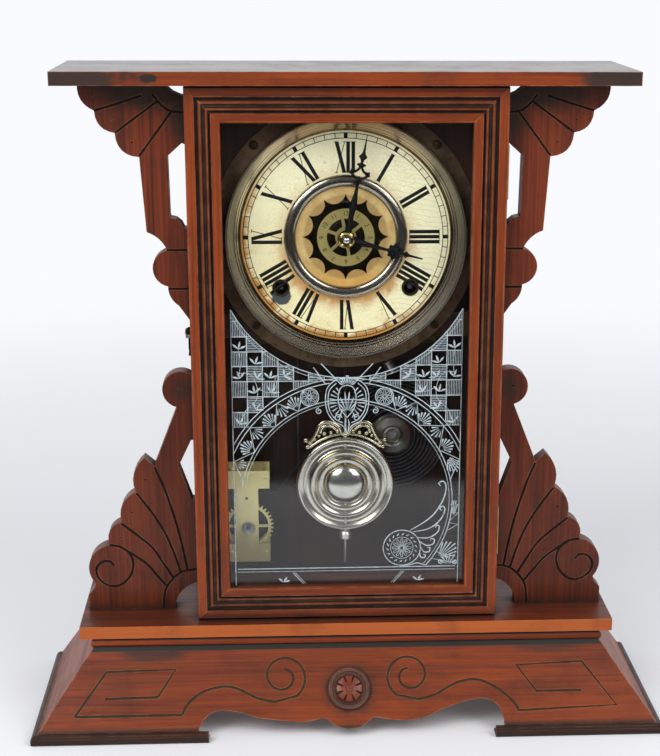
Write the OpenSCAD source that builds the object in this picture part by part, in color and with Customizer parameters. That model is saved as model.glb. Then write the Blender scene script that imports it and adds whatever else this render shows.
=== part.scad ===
// Parlour shelf clock: carved brackets beside a narrow case, a glazed door,
// an eight-day time and strike movement, a pendulum, a coil gong and an alarm.
// Frame: +X to the right as seen from the front, +Y to the back, +Z up.
// Origin: centre of the footprint, on the surface that the clock stands on.

/* [Case] */
// Overall height of the clock
clock_h = 432; // [425:1:445]
// Overall depth, from the front foot moulding to the back
clock_d = 142; // [140:1:150]
// Width of the top board
top_w = 364; // [350:1:390]
// Depth of the top board
top_d = 104; // [100:1:112]
// Thickness of the top board
top_t = 8.5; // [7:0.5:10]
// Width of the shelf board
shelf_w = 360; // [356:1:380]
// Thickness of the shelf board
shelf_t = 8.5; // [7:0.5:10]
// Height of the shelf's upper face
shelf_z = 70; // [68:0.5:72]
// Depth of the case, without the door
case_d = 80; // [79:0.5:82]
// Thickness of the case sides
side_t = 10; // [9:0.5:10.5]
// Thickness of the back board
back_t = 5; // [4:0.5:6]

/* [Base] */
// Overall width over the foot mouldings
foot_w = 423; // [415:1:430]
// Height of the foot mouldings
foot_h = 7; // [6:0.5:8]
// Projection of the foot mouldings past the boards, at their top
foot_p = 4.5; // [4.2:0.1:5.5]
// Height of the gap under the base boards
base_lift = 1.5; // [1:0.1:2]
// Sideways lean of the flanks, in mm for each mm of height
flank_lean = 0.74; // [0.68:0.01:0.76]
// Forward lean of the front board, in mm for each mm of height
front_lean = 0.67; // [0.6:0.01:0.7]
// Thickness of the base boards, measured level
base_t = 11; // [9:0.5:12]
// Half-width of the arched cut-out in the front board
arch_x = 96; // [90:1:100]
// How much larger the hand-cut right arch is than the mean, and the left one smaller
arch_skew = 2; // [0:0.5:3]
// Height of the cut-out's two arches
arch_z = 19.5; // [18:0.5:21]
// Half-width of the round boss below the rosette
boss_x = 18; // [16:0.5:19]
// Height of the boss's lowest point
boss_z = 6.5; // [5:0.5:8]
// Radius of the turned rosette
rosette_r = 14.2; // [12:0.2:15]
// Height of the rosette's centre
rosette_z = 29; // [28:0.5:31]
// Height of the bed moulding under the shelf
bed_h = 7; // [6:0.5:8]

/* [Brackets] */
// Thickness of the bracket boards
bracket_t = 12; // [10:0.5:14]
// How far the brackets stand behind the front edge of the case
bracket_set = 5.5; // [5:0.5:7]
// Width of each upper bracket
upper_w = 68; // [64:1:70]
// Drop of each upper bracket below the top board
upper_drop = 154.5; // [150:0.5:158]
// Width of each lower bracket
lower_w = 76.5; // [74:0.5:78]
// Gap between the upper and the lower brackets
bracket_gap = 30.4; // [28:0.2:36]

/* [Door] */
// Overhang of the door past each side of the case
door_lap = 1; // [0.5:0.1:1.5]
// Thickness of the door
door_t = 17.7; // [16:0.1:18.5]
// Width of the stiles and rails
frame_w = 22; // [20:0.5:24]
// Gap between the door and the shelf, and between the door and the top board
door_gap = 0.9; // [0.5:0.1:1.5]
// Gap between the door's back and the case
door_play = 0.3; // [0.3:0.05:0.6]
// Depth of the reeds' grooves
reed_d = 2.2; // [1:0.1:3]
// Depth of the glass below the frame's face
glass_set = 6; // [5:0.5:8]
// Thickness of the glass
glass_t = 2; // [1.8:0.1:2.4]
// Width of the rabbet that holds the glass
rabbet_w = 5; // [4:0.5:6]
// Length of each hinge
hinge_l = 34; // [28:1:40]
// Radius of the hinge knuckles
knuckle_r = 1.7; // [1.6:0.05:1.8]
// Radius of the hinge pins
hinge_pin_r = 0.9; // [0.8:0.05:1]
// Distance from each end of the door to the middle of its hinge
hinge_end = 55; // [45:1:80]
// Depth of the latch hook's pivot below the upper bracket
latch_drop = 5; // [4:0.5:8]

/* [Dial] */
// Depth of the dial's centre below the top board
dial_drop = 98.5; // [96:0.5:101]
// Depth of the dial's paper behind the front edge of the case
dial_set = 12; // [11.5:0.5:12.5]
// Radius of the dial's paper
paper_r = 70.2; // [69:0.1:71]
// Spread of the bezel beyond the paper
bezel_flare = 8.1; // [7.6:0.1:8.6]
// Width of the dial pan's flange around the bezel
flange_w = 8.9; // [8.6:0.1:9.6]
// Gap between the flange and the case sides
dial_gap = 2.8; // [2:0.1:4]
// Rise of the bezel in front of the paper
bezel_rise = 10; // [8:0.5:11]
// Thickness of the dial's sheet metal
sheet_t = 0.6; // [0.5:0.1:0.8]
// Radius of the scalloped opening at the dial's centre
scallop_r = 27.7; // [27:0.1:28.5]
// Outer radius of the half-round inner ring
ring_outer_r = 40.3; // [39:0.1:42]
// Inner radius of the half-round inner ring
ring_inner_r = 32.5; // [31:0.1:34]
// Radius of the alarm disc
alarm_disc_r = 18.7; // [17:0.1:20]
// Length of the minute hand
minute_l = 64; // [60:1:66]
// Length of the hour hand
hour_l = 51; // [46:1:54]
// Minute hand's angle at rest, clockwise from twelve
minute_a = 11.4; // [0:0.1:359]
// Hour hand's angle at rest, clockwise from twelve
hour_a = 104.9; // [0:0.1:359]

/* [Movement] */
// Clear gap between the plates
plate_gap = 28.4; // [28:0.1:29]
// Thickness of the plates
plate_t = 1.8; // [1.6:0.1:2]
// Depth of the movement's back in front of the back board
stand_off = 12; // [11.5:0.1:12.5]
// Half-width of the plates
plate_x = 62; // [61:0.5:64]
// Height of the plates' upper edge above the dial's centre
plate_up = 60; // [59:0.5:62]
// Depth of the plates' lower edge below the dial's centre
plate_down = 75; // [74:0.5:78]
// Half the distance between the winding arbors
wind_x = 42.4; // [42:0.1:43]
// Depth of the winding arbors below the dial's centre
wind_z = 33.3; // [32.5:0.1:34]
// Radius of the pivots
pivot_r = 0.9; // [0.8:0.05:1]
// Radius of the arbors between the plates
arbor_r = 1.3; // [1.2:0.05:1.5]
// Radial clearance of running fits
run_fit = 0.05; // [0.03:0.01:0.08]
// Width of the mainsprings
spring_w = 17; // [15:0.5:17.5]
// Radius of the coiled mainsprings
spring_r = 23.5; // [21:0.5:24]
// Thickness of the spring steel
spring_t = 0.5; // [0.4:0.05:0.7]
// Height of the pendulum's axis above the dial's centre
pendulum_up = 50; // [49.5:0.1:51]
// Height of the bob's middle above the shelf
bob_up = 84; // [81:0.5:89]
// Radius of the bob
bob_r = 33.5; // [30:0.5:35]
// Thickness of the bob
bob_t = 9; // [7:0.5:10]
// Radius of the pendulum rod
rod_r = 0.9; // [0.8:0.05:1]

/* [Gong and alarm] */
// Gong's place to the right of the middle
gong_x = 34; // [30:1:38]
// Gap between the movement's lower edge and the gong
gong_gap = 30; // [27:1:34]
// Outer radius of the gong's coil
gong_r = 41; // [38:0.5:42]
// Radius of the gong's domed base
gong_base_r = 15; // [13:0.5:16]
// Number of turns in the gong's coil
gong_turns = 9; // [6:1:10]
// Radius of the gong's wire
gong_wire_r = 0.8; // [0.6:0.05:0.9]
// Distance of the alarm arbor from the case side
alarm_side = 22.9; // [22:0.1:24]
// Height of the alarm arbor above the shelf
alarm_up = 45.8; // [44:0.2:48]
// Radius of the alarm's toothed wheel
alarm_wheel_r = 17.5; // [16:0.5:18]

/* [Hidden] */
$fn = 64;

walnut = [0.42, 0.16, 0.07];
dark_walnut = [0.2, 0.08, 0.05];
brass = [0.78, 0.6, 0.28];
steel = [0.45, 0.46, 0.48];
black = [0.03, 0.03, 0.035];

// Planes from front to back
back_y = clock_d / 2;
case_front = back_y - case_d;
door_back = case_front - door_play;
door_front = door_back - door_t;
top_front = back_y - top_d;
top_z = clock_h - top_t;
board_front = back_y - back_t;
bracket_front = case_front + bracket_set;
bracket_back = bracket_front + bracket_t;
paper_y = case_front + dial_set;
plate_back_y = board_front - stand_off;
inner_back = plate_back_y - plate_t;
inner_front = inner_back - plate_gap;
plate_front_y = inner_front - plate_t;
rod_y = plate_front_y - 11;
glass_front = door_front + glass_set;
glass_back = glass_front + glass_t;
door_low = shelf_z + door_gap;
door_high = top_z - door_gap;
bezel_r = paper_r + bezel_flare;
flange_r = bezel_r + flange_w;
side_in = flange_r + dial_gap;
case_w = 2 * (side_in + side_t);
door_w = case_w + 2 * door_lap;
dial_z = top_z - dial_drop;
gong_z = dial_z - plate_down - gong_gap - gong_r;
alarm_x = side_in - alarm_side;
alarm_z = shelf_z + alarm_up;
latch_z = top_z - upper_drop - latch_drop;
touch = 0.02;
loose = 0.3;

// A slab between two planes, drawn as seen from the front
module slab(front, back) {
    translate([0, back, 0])
        rotate([90, 0, 0])
            linear_extrude(back - front) children();
}

// A turned piece whose axis points forward from the plane y
module facing(x, y, z) {
    translate([x, y, z])
        rotate([90, 0, 0]) children();
}

// A round bar along Y
module bar_y(x, z, front, back, r) {
    facing(x, back, z) cylinder(h = back - front, r = r);
}

// A box given by its lowest and highest corners
module block(low, high) {
    translate(low) cube(high - low);
}

module both_sides() {
    children();
    mirror([1, 0, 0]) children();
}

// ---- base ----

// Half-width and front plane of the base boards' outer faces at height z
function flank_x(z) = foot_w / 2 - foot_p - (z - foot_h) * flank_lean;
function base_y(z) = -clock_d / 2 + foot_p + (z - foot_h) * front_lean;
base_high = shelf_z - shelf_t;
bed_z = base_high - bed_h / 2;
shelf_front = base_y(bed_z) - bed_h / 2;

// Cross-section of a leaning board: outward is x, up is y
module board_section(outer_low, outer_high) {
    polygon([[outer_low - base_t, base_lift], [outer_low, base_lift],
        [outer_high, base_high], [outer_high - base_t, base_high]]);
}

// The plan of the front board between its mitres
module front_plan() {
    polygon([[-flank_x(base_lift), base_y(base_lift)], [flank_x(base_lift), base_y(base_lift)],
        [flank_x(base_high), base_y(base_high)],
        [mitre_in_x(), mitre_in_y()], [-mitre_in_x(), mitre_in_y()],
        [-flank_x(base_high), base_y(base_high)]]);
}
function mitre_slope() = flank_lean / front_lean;
function mitre_in_y() = base_y(base_high) + base_t + 1;
function mitre_in_x() = flank_x(base_high) - (base_t + 1) * mitre_slope();

// Outline of one arch from the ground to the boss, which reaches to x and rises to z
function arch_points(x, z) = [[x + 7, -1], [x + 7, base_lift + 6], [x + 3, z - 4],
    [x - 2, z - 0.5], [x - 9, z + 1], [x - 20, z - 0.5], [x - 33, z - 4], [x - 49, arch_low + 1.2],
    [x - 61, arch_low], [boss_x + 6, arch_low + 1], [boss_x + 1, arch_low + 2]];
arch_low = arch_z - 8.8;
boss_r = rosette_z - boss_z;
boss_turn = acos((rosette_z - arch_low - 2) / boss_r);

module arch_half(skew) {
    polygon(concat(arch_points(arch_x + skew, arch_z + skew),
        [for (t = [boss_turn:-boss_turn / 8:0]) [boss_r * sin(t), rosette_z - boss_r * cos(t)]],
        [[0, -1]]));
}

module base_front_board() {
    color(walnut)
        difference() {
            intersection() {
                rotate([90, 0, -90])
                    linear_extrude(foot_w, center = true)
                        board_section(-base_y(base_lift), -base_y(base_high));
                linear_extrude(base_high) front_plan();
            }
            slab(-clock_d, back_y) {
                arch_half(arch_skew);
                mirror([1, 0]) arch_half(-arch_skew);
            }
            rosette_place() translate([0, 0, -rosette_seat]) cylinder(h = 20, r = rosette_r + touch);
        }
}

module both_sides_2d() {
    children();
    mirror([1, 0]) children();
}

module flank_plan() {
    polygon([[flank_x(base_lift) + 1, base_y(base_lift) - 1 / mitre_slope()],
        [flank_x(base_lift) + 1, back_y], [mitre_in_x() - 1, back_y],
        [mitre_in_x() - 1, mitre_in_y() + 1 / mitre_slope()]]);
}

module base_flanks() {
    color(walnut)
        both_sides()
            intersection() {
                translate([0, back_y, 0])
                    rotate([90, 0, 0])
                        linear_extrude(clock_d + 10)
                            board_section(flank_x(base_lift), flank_x(base_high));
                translate([touch, touch, 0]) linear_extrude(base_high) flank_plan();
            }
}

// Bullnosed strip with a lip under the boards: outward is x, up is y
module foot_section(face_low, face_high, outer) {
    polygon([[face_low - base_t, 0], [outer - 1, 0], [outer, 1], [outer, foot_h - 2.5],
        [outer - 1, foot_h - 0.8], [outer - 2.6, foot_h], [face_high, foot_h],
        [face_low, base_lift - touch], [face_low - base_t, base_lift - touch]]);
}

module foot_mouldings() {
    outer_x = foot_w / 2;
    outer_y = clock_d / 2;
    depth = 20;
    color(dark_walnut) {
        for (side = [-1, 1])
            intersection() {
                rotate([90, 0, -90])
                    linear_extrude(foot_w, center = true)
                        foot_section(-base_y(base_lift) + touch, -base_y(foot_h) + touch, outer_y);
                linear_extrude(foot_h)
                    polygon([[side * outer_x, -outer_y], [side * arch_x + arch_skew, -outer_y],
                        [side * arch_x + arch_skew, -outer_y + depth], [side * (outer_x - depth), -outer_y + depth]]);
            }
        both_sides()
            intersection() {
                translate([0, back_y, 0])
                    rotate([90, 0, 0])
                        linear_extrude(clock_d)
                            foot_section(flank_x(base_lift) + touch, flank_x(foot_h) + touch, outer_x);
                translate([0, touch, 0])
                    linear_extrude(foot_h)
                        polygon([[outer_x, -outer_y], [outer_x, back_y], [outer_x - depth, back_y],
                            [outer_x - depth, -outer_y + depth]]);
            }
    }
}

// Half-round moulding under the shelf, seated on the leaning boards: outward is x, up is y
module bed_section(lean) {
    r = bed_h / 2;
    difference() {
        circle(r = r - touch);
        polygon([[lean * bed_h + touch, -bed_h], [-lean * bed_h + touch, bed_h], [-bed_h, bed_h], [-bed_h, -bed_h]]);
    }
}

module bed_mouldings() {
    x0 = flank_x(bed_z);
    y0 = base_y(bed_z);
    color(walnut) {
        intersection() {
            translate([0, y0, bed_z])
                rotate([90, 0, -90])
                    linear_extrude(foot_w, center = true) bed_section(front_lean);
            linear_extrude(base_high)
                polygon([[-x0 + bed_h * mitre_slope(), y0 + bed_h], [-x0 - bed_h * mitre_slope(), y0 - bed_h],
                    [x0 + bed_h * mitre_slope(), y0 - bed_h], [x0 - bed_h * mitre_slope(), y0 + bed_h]]);
        }
        both_sides()
            intersection() {
                translate([x0, back_y, bed_z])
                    rotate([90, 0, 0])
                        linear_extrude(clock_d) bed_section(flank_lean);
                translate([0, touch, 0])
                    linear_extrude(base_high)
                        polygon([[x0 - bed_h * mitre_slope(), y0 + bed_h], [x0 + bed_h * mitre_slope(), y0 - bed_h],
                            [x0 + bed_h * mitre_slope(), back_y], [x0 - bed_h * mitre_slope(), back_y]]);
            }
    }
}

// Glue blocks inside the base, and the rail that the floor screws bite into
module corner_blocks() {
    size = 22;
    high = base_high - touch;
    low = base_high - size;
    x0 = flank_x(base_high) - base_t - touch;
    y0 = base_y(base_high) + base_t + touch;
    color(dark_walnut) {
        both_sides() {
            block([x0 - size, y0, low], [x0, y0 + size, high]);
            block([x0 - size, back_y - size, low], [x0, back_y, high]);
        }
        difference() {
            block([-x0 + size + 1, floor_screw_y - 9, high - 14], [x0 - size - 1, floor_screw_y + 9, high]);
            floor_screw_holes(high - 4);
        }
    }
}

// Frame on the front board's face at the rosette's centre, +Z out of the board
rosette_seat = 4;
module rosette_place() {
    translate([0, base_y(rosette_z), rosette_z])
        rotate([90 - atan(front_lean), 0, 0]) children();
}

module base_rosette() {
    petals = 8;
    rise = 3;
    petal_r = rosette_r * 0.66;
    color(walnut)
        rosette_place() {
            translate([0, 0, -rosette_seat + touch])
                rotate_extrude()
                    polygon([[0, 0], [rosette_r, 0], [rosette_r, rosette_seat + rise - 1],
                        [rosette_r - 0.8, rosette_seat + rise], [rosette_r - 2.4, rosette_seat + rise],
                        [rosette_r - 3.2, rosette_seat + rise - 1.2],
                        [rosette_r * 0.66, rosette_seat + 0.6], [0, rosette_seat + 0.6]]);
            // a low dome, cut into petals by grooves that get deeper outward
            difference() {
                rotate_extrude()
                    polygon([[0, 0], [petal_r, 0], [petal_r, rise * 0.35], [petal_r * 0.88, rise * 0.66],
                        [petal_r * 0.62, rise * 0.8], [petal_r * 0.3, rise * 0.66], [0, rise * 0.6]]);
                for (i = [0:petals - 1])
                    rotate((i + 0.5) * 360 / petals)
                        rotate([0, 14, 0])
                            translate([rosette_r * 0.2, 0, rise * 0.9])
                                rotate([90, 0, 90])
                                    linear_extrude(rosette_r)
                                        polygon([[0, 0], [rise * 0.8, rise], [-rise * 0.8, rise]]);
            }
            rotate_extrude()
                polygon([[0, 0], [rosette_r * 0.16, 0], [rosette_r * 0.16, rise * 0.8],
                    [rosette_r * 0.1, rise], [0, rise]]);
        }
}

// ---- case ----

module floor_screw_holes(low) {
    for (x = floor_screw_x)
        translate([x, floor_screw_y, low]) cylinder(h = shelf_z + 1 - low, r = screw_r + touch);
}

module shelf_board() {
    color(walnut)
        difference() {
            block([-shelf_w / 2, shelf_front, base_high], [shelf_w / 2, back_y, shelf_z]);
            floor_screw_holes(base_high - 1);
        }
}

module top_board() {
    color(walnut)
        block([-top_w / 2, top_front, top_z], [top_w / 2, back_y, clock_h]);
}

module case_sides() {
    color(walnut)
        difference() {
            both_sides()
                difference() {
                    block([side_in, case_front, shelf_z + touch], [case_w / 2, back_y, top_z - touch]);
                    // rabbet for the back board
                    block([side_in - 1, board_front - touch, shelf_z - 1],
                        [case_w / 2 - side_t / 2, back_y + 1, top_z + 1]);
                }
            // mortises for the hinges' leaves, on the right
            for (z = hinge_zs)
                block([case_w / 2 - leaf_w, case_front - 1, z - hinge_l / 2 - touch],
                    [case_w / 2 + 1, case_front + leaf_t + touch, z + hinge_l / 2 + touch]);
            // hole of the latch's screw, on the left
            translate([-case_w / 2 - 1, latch_y, latch_z])
                rotate([0, 90, 0]) cylinder(h = side_t + 2, r = screw_r + touch);
        }
}

module back_board() {
    w = case_w / 2 - side_t / 2 - touch;
    color(dark_walnut)
        block([-w, board_front, shelf_z + touch], [w, back_y, top_z - touch]);
}

// ---- brackets ----

// Points on an arc through two points, bulging to the left of the way from a to b
function arc(a, b, bulge, n = 6) = [for (i = [0:n]) let (t = i / n)
    a + (b - a) * t + 4 * bulge * t * (1 - t) * [-(b - a)[1], (b - a)[0]] / norm(b - a)];

// Upper bracket, measured outward from the case side and down from the top board
module upper_outline() {
    w = upper_w;
    d = upper_drop;
    knob = [w - 55, -117.4];
    outer = concat(
        [[0, 0], [w, 0]],
        arc([w, 0], [w - 9.8, -17.4], 3.7),
        arc([w - 9.8, -17.4], [w - 22.1, -31.2], 3.8),
        arc([w - 22.1, -31.2], [w - 36.9, -46.3], 4.7),
        arc([w - 39.9, -93.8], [w - 52.6, -105.5], -1.9),
        [for (a = [78:-13:-78]) knob + 12.1 * [cos(a), sin(a)]],
        arc([w - 52.4, -130.3], [w - 59.2, -142], 1.6),
        [[0, -d]]);
    difference() {
        polygon(outer);
        // slot between the leg and the case side
        polygon([[-1, -d + 115], [4, -d + 117], [w - 54.6, -45.8], [w - 55.2, -84.5],
            [w - 59.1, -85.4], [w - 62.4, -88.1], [w - 64, -91.4], [-1, -91.4]]);
        // hollow at the inner top corner
        polygon([[-1, 1], [14.6, 1], [14.6, 0], [12.4, -2.8], [8.8, -5.8], [3.9, -7.9], [-1, -8.6]]);
    }
}

// Lower bracket, drawn at its own size and then fitted to the width and height that it fills
module lower_outline() {
    w = 76.5;
    h = 168.6;
    knob = [9.3, h - 13.4];
    scroll = [w - 18, 30];
    outer = concat(
        [[0, h - 3]],
        [for (a = [125:-12.5:-75]) knob + 12.4 * [cos(a), sin(a)]],
        [[28.6, 102.9], [35.3, 108.5]],
        arc([35.3, 108.5], [42, 84.7], 4),
        arc([42, 84.7], [52.2, 63.5], 4.3),
        arc([52.2, 63.5], [60.8, 46.8], 4.2),
        [for (a = [80:-10:-40]) scroll + 17 * [cos(a), sin(a)]],
        [[w - 4.2, 15.5], [w, 11], [w, 0], [0, 0]]);
    scale([lower_w / w, (top_z - upper_drop - bracket_gap - shelf_z) / h])
        difference() {
            polygon(outer);
            polygon([[-1, 120.5], [3.6, 120.5], [12.4, 102.4], [4, 78.2], [-1, 78.2]]);
            translate([-2, 0]) circle(r = 19.4);
        }
}

module bracket_pair(z) {
    both_sides()
        translate([case_w / 2 + touch, 0, z])
            slab(bracket_front, bracket_back) children();
}

module upper_brackets() {
    color(dark_walnut) bracket_pair(top_z - touch) upper_outline();
}

module lower_brackets() {
    color(walnut) bracket_pair(shelf_z + touch) lower_outline();
}

// ---- fasteners and blocks ----

screw_r = 1.3;
screw_l = 9;
screw_head_r = 3;
screw_head_h = 2;
floor_screw_x = [-28, 56];
floor_screw_y = case_front + 44;
batten_x = plate_x - 12;
plate_screws = [[plate_x - 4, -plate_down + 20], [plate_x - 4, plate_up - 26]];

// Round-head screw with its seat at the origin, the shank pointing to -Z
module brass_screw() {
    translate([0, 0, -screw_l]) cylinder(h = screw_l + touch, r = screw_r);
    rotate_extrude()
        polygon([[0, 0], [screw_head_r, 0], [screw_head_r, 0.5], [screw_head_r * 0.8, screw_head_h * 0.8],
            [screw_head_r * 0.45, screw_head_h], [0, screw_head_h]]);
}

dial_screw_r = flange_r - 4;
module brass_screws() {
    color(brass) {
        for (x = floor_screw_x)
            translate([x, floor_screw_y, shelf_z]) brass_screw();
        for (a = [45:90:315])
            facing(dial_screw_r * cos(a), flange_y, dial_z + dial_screw_r * sin(a)) brass_screw();
        both_sides()
            for (p = plate_screws)
                facing(p[0], inner_back, dial_z + p[1]) brass_screw();
        translate([-case_w / 2 - hook_gap - hook_t - run_fit, latch_y, latch_z])
            rotate([0, -90, 0]) brass_screw();
    }
}

// Corner blocks and cleats behind the dial, battens behind the movement
module mounting_blocks() {
    leg = 77;
    front = flange_y + sheet_t;
    back = front + 9;
    cleat = dial_screw_r * sin(45);
    color(dark_walnut) {
        both_sides() {
            difference() {
                slab(front, back)
                    polygon([[side_in - touch, top_z - touch], [side_in - leg, top_z - touch],
                        [side_in - touch, top_z - leg]]);
                bar_y(cleat, dial_z + cleat, front - 1, back + 1, screw_r + touch);
            }
            difference() {
                block([cleat - 6, front, dial_z - cleat - 8], [side_in - touch, back, dial_z - cleat + 8]);
                bar_y(cleat, dial_z - cleat, front - 1, back + 1, screw_r + touch);
            }
            difference() {
                block([batten_x, plate_back_y, dial_z - plate_down], [batten_x + 14, board_front, dial_z + plate_up]);
                for (p = plate_screws)
                    bar_y(p[0], dial_z + p[1], plate_back_y - 1, board_front + 1, screw_r + touch);
            }
        }
    }
}

// ---- door ----

door_z0 = (door_low + door_high) / 2;
door_h = door_high - door_low;

// Cross-section of a stile or rail: x from the outer edge inwards, y back from the face
module frame_section() {
    groove = frame_w * 0.28;
    step = frame_w * 0.182;
    rib = 0.6;
    difference() {
        polygon([[0, 0.8], [0.8, 0], [frame_w - 0.8, 0], [frame_w, 0.8], [frame_w, glass_set],
            [frame_w - rabbet_w, glass_set], [frame_w - rabbet_w, door_t], [0, door_t]]);
        // three grooves with two rounded ribs between them
        translate([groove, 0])
            polygon([[0, -1], [0, rib], [0.3, reed_d], [step * 0.35, reed_d],
                [step * 0.55, rib + 0.5], [step * 0.75, rib], [step * 0.95, rib],
                [step * 1.1, rib + 0.5], [step * 1.25, reed_d], [step * 1.5, reed_d],
                [step * 1.65, rib + 0.5], [step * 1.8, rib], [step * 1.95, rib],
                [step * 2.1, rib + 0.5], [step * 2.25, reed_d], [step * 2.45, reed_d],
                [step * 2.5, rib], [step * 2.5, -1]]);
    }
}

// The door's four quarters as seen from the front, cut at the mitres
module mitre_plan(half_w, half_h) {
    polygon([[-half_w, -half_h], [-half_w, half_h], [-half_w + frame_w, half_h - frame_w],
        [-half_w + frame_w, -half_h + frame_w]]);
}

module door_stiles() {
    color(walnut)
        difference() {
            both_sides()
                intersection() {
                    translate([-door_w / 2, door_front, door_low])
                        linear_extrude(door_h) frame_section();
                    translate([0, 0, door_z0])
                        slab(door_front - 1, door_back + 1) mitre_plan(door_w / 2, door_h / 2);
                }
            // hinge mortises and the hollows that clear the knuckles
            for (z = hinge_zs) {
                block([case_w / 2 - leaf_w, door_back - leaf_t - touch, z - hinge_l / 2 - touch],
                    [door_w / 2 + 1, door_back + 1, z + hinge_l / 2 + touch]);
                translate([hinge_x, hinge_y, z - hinge_l / 2 - 2])
                    cylinder(h = hinge_l + 4, r = knuckle_r + loose);
            }
            translate([-door_w / 2 - 1, latch_pin_y, latch_z])
                rotate([0, 90, 0]) cylinder(h = 9, r = latch_pin_r + touch);
        }
}

module door_rails() {
    color(walnut)
        for (turn = [0, 180])
            translate([0, 0, door_z0])
                rotate([0, turn, 0])
                    intersection() {
                        translate([-door_w / 2, door_front, -door_h / 2])
                            rotate([0, 90, 0])
                                mirror([1, 0, 0])
                                    linear_extrude(door_w) frame_section();
                        translate([0, touch, touch])
                            slab(door_front - 1, door_back + 1)
                                polygon([[-door_w / 2 + touch, -door_h / 2], [door_w / 2 - touch, -door_h / 2],
                                    [door_w / 2 - frame_w - touch, -door_h / 2 + frame_w],
                                    [-door_w / 2 + frame_w + touch, -door_h / 2 + frame_w]]);
                    }
}

glass_x = door_w / 2 - frame_w + rabbet_w - 0.1;
glass_z = door_h / 2 - frame_w + rabbet_w - 0.1;
module door_glass() {
    color([0.8, 0.9, 0.9, 0.3])
        block([-glass_x, glass_front + touch, door_z0 - glass_z], [glass_x, glass_back, door_z0 + glass_z]);
}

module glass_beads() {
    bead_d = 5;
    bead_w = rabbet_w - 0.6;
    front = glass_back + touch;
    color(dark_walnut) {
        both_sides()
            block([glass_x - bead_w, front, door_z0 - glass_z], [glass_x, front + bead_d, door_z0 + glass_z]);
        for (turn = [0, 180])
            translate([0, 0, door_z0])
                rotate([0, turn, 0])
                    block([-glass_x + bead_w + touch, front, glass_z - bead_w],
                        [glass_x - bead_w - touch, front + bead_d, glass_z]);
    }
}

leaf_t = 1;
leaf_w = 8;
hinge_x = door_w / 2 + knuckle_r - 0.5;
hinge_y = (door_back + case_front) / 2;
hinge_zs = [door_low + hinge_end, door_high - hinge_end];
knuckle_gap = 0.2;

// Knuckles of one leaf: three on the case leaf, two on the door leaf
module knuckles(z, first, count) {
    pitch = hinge_l / 5;
    for (i = [0:count - 1])
        translate([hinge_x, hinge_y, z - hinge_l / 2 + (first + 2 * i) * pitch + knuckle_gap / 2])
            cylinder(h = pitch - knuckle_gap, r = knuckle_r);
}

module hinge_leaf(z, first, count, y0, y1) {
    pitch = hinge_l / 5;
    difference() {
        union() {
            knuckles(z, first, count);
            block([case_w / 2 - leaf_w + touch, y0, z - hinge_l / 2], [case_w / 2 - touch, y1, z + hinge_l / 2]);
            for (i = [0:count - 1])
                block([case_w / 2 - 1, y0, z - hinge_l / 2 + (first + 2 * i) * pitch + knuckle_gap / 2],
                    [hinge_x, y1, z - hinge_l / 2 + (first + 2 * i + 1) * pitch - knuckle_gap / 2]);
        }
        translate([hinge_x, hinge_y, z - hinge_l]) cylinder(h = 2 * hinge_l, r = hinge_pin_r + run_fit);
    }
}

module hinge_case_leaves() {
    color(brass)
        for (z = hinge_zs) hinge_leaf(z, 0, 3, case_front, case_front + leaf_t);
}

module hinge_door_leaves() {
    color(brass)
        for (z = hinge_zs) hinge_leaf(z, 1, 2, door_back - leaf_t, door_back);
}

module hinge_pins() {
    color(steel)
        for (z = hinge_zs) {
            translate([hinge_x, hinge_y, z - hinge_l / 2]) cylinder(h = hinge_l + 1, r = hinge_pin_r);
            translate([hinge_x, hinge_y, z + hinge_l / 2 + touch]) cylinder(h = 1, r = hinge_pin_r + 0.6);
        }
}

// Hook on the left side of the case, hanging down from its screw
latch_y = case_front + 6;
latch_reach = 12.5;
latch_pin_y = latch_y - latch_reach - 0.1;
latch_pin_r = 1.2;
hook_t = 2;
hook_gap = 1.4;

// Outline seen from the left: the mouth opens to the back, +x, and up is y
module hook_outline() {
    difference() {
        union() {
            circle(r = 3.4);
            translate([-1.5, -latch_reach - 0.5]) square([3, latch_reach + 0.5]);
            translate([0, -latch_reach]) circle(r = 3.4);
        }
        circle(r = screw_r + run_fit);
        translate([0, -latch_reach]) circle(r = latch_pin_r + 0.4);
        translate([0, -latch_reach - latch_pin_r - 0.4]) square([6, 2 * latch_pin_r + 0.8]);
    }
}

module latch_hook() {
    color(black)
        translate([-case_w / 2 - hook_gap, latch_y, latch_z])
            rotate([90, 0, -90])
                linear_extrude(hook_t) hook_outline();
}

module latch_pin() {
    color(steel)
        translate([-door_w / 2 - 3.4, latch_pin_y, latch_z])
            rotate([0, 90, 0]) cylinder(h = 9, r = latch_pin_r);
}

// ---- dial ----

flange_y = paper_y + 2.2;
hole_r = 5.2;

module dial_opening() {
    bumps = 12;
    difference() {
        circle(r = scallop_r);
        for (i = [0:bumps - 1])
            rotate((i + 0.5) * 360 / bumps) translate([scallop_r + 2.2, 0]) circle(r = 7.6);
    }
}

module winding_holes(r) {
    for (side = [-1, 1])
        translate([side * wind_x, -wind_z]) circle(r = r);
}

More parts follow.
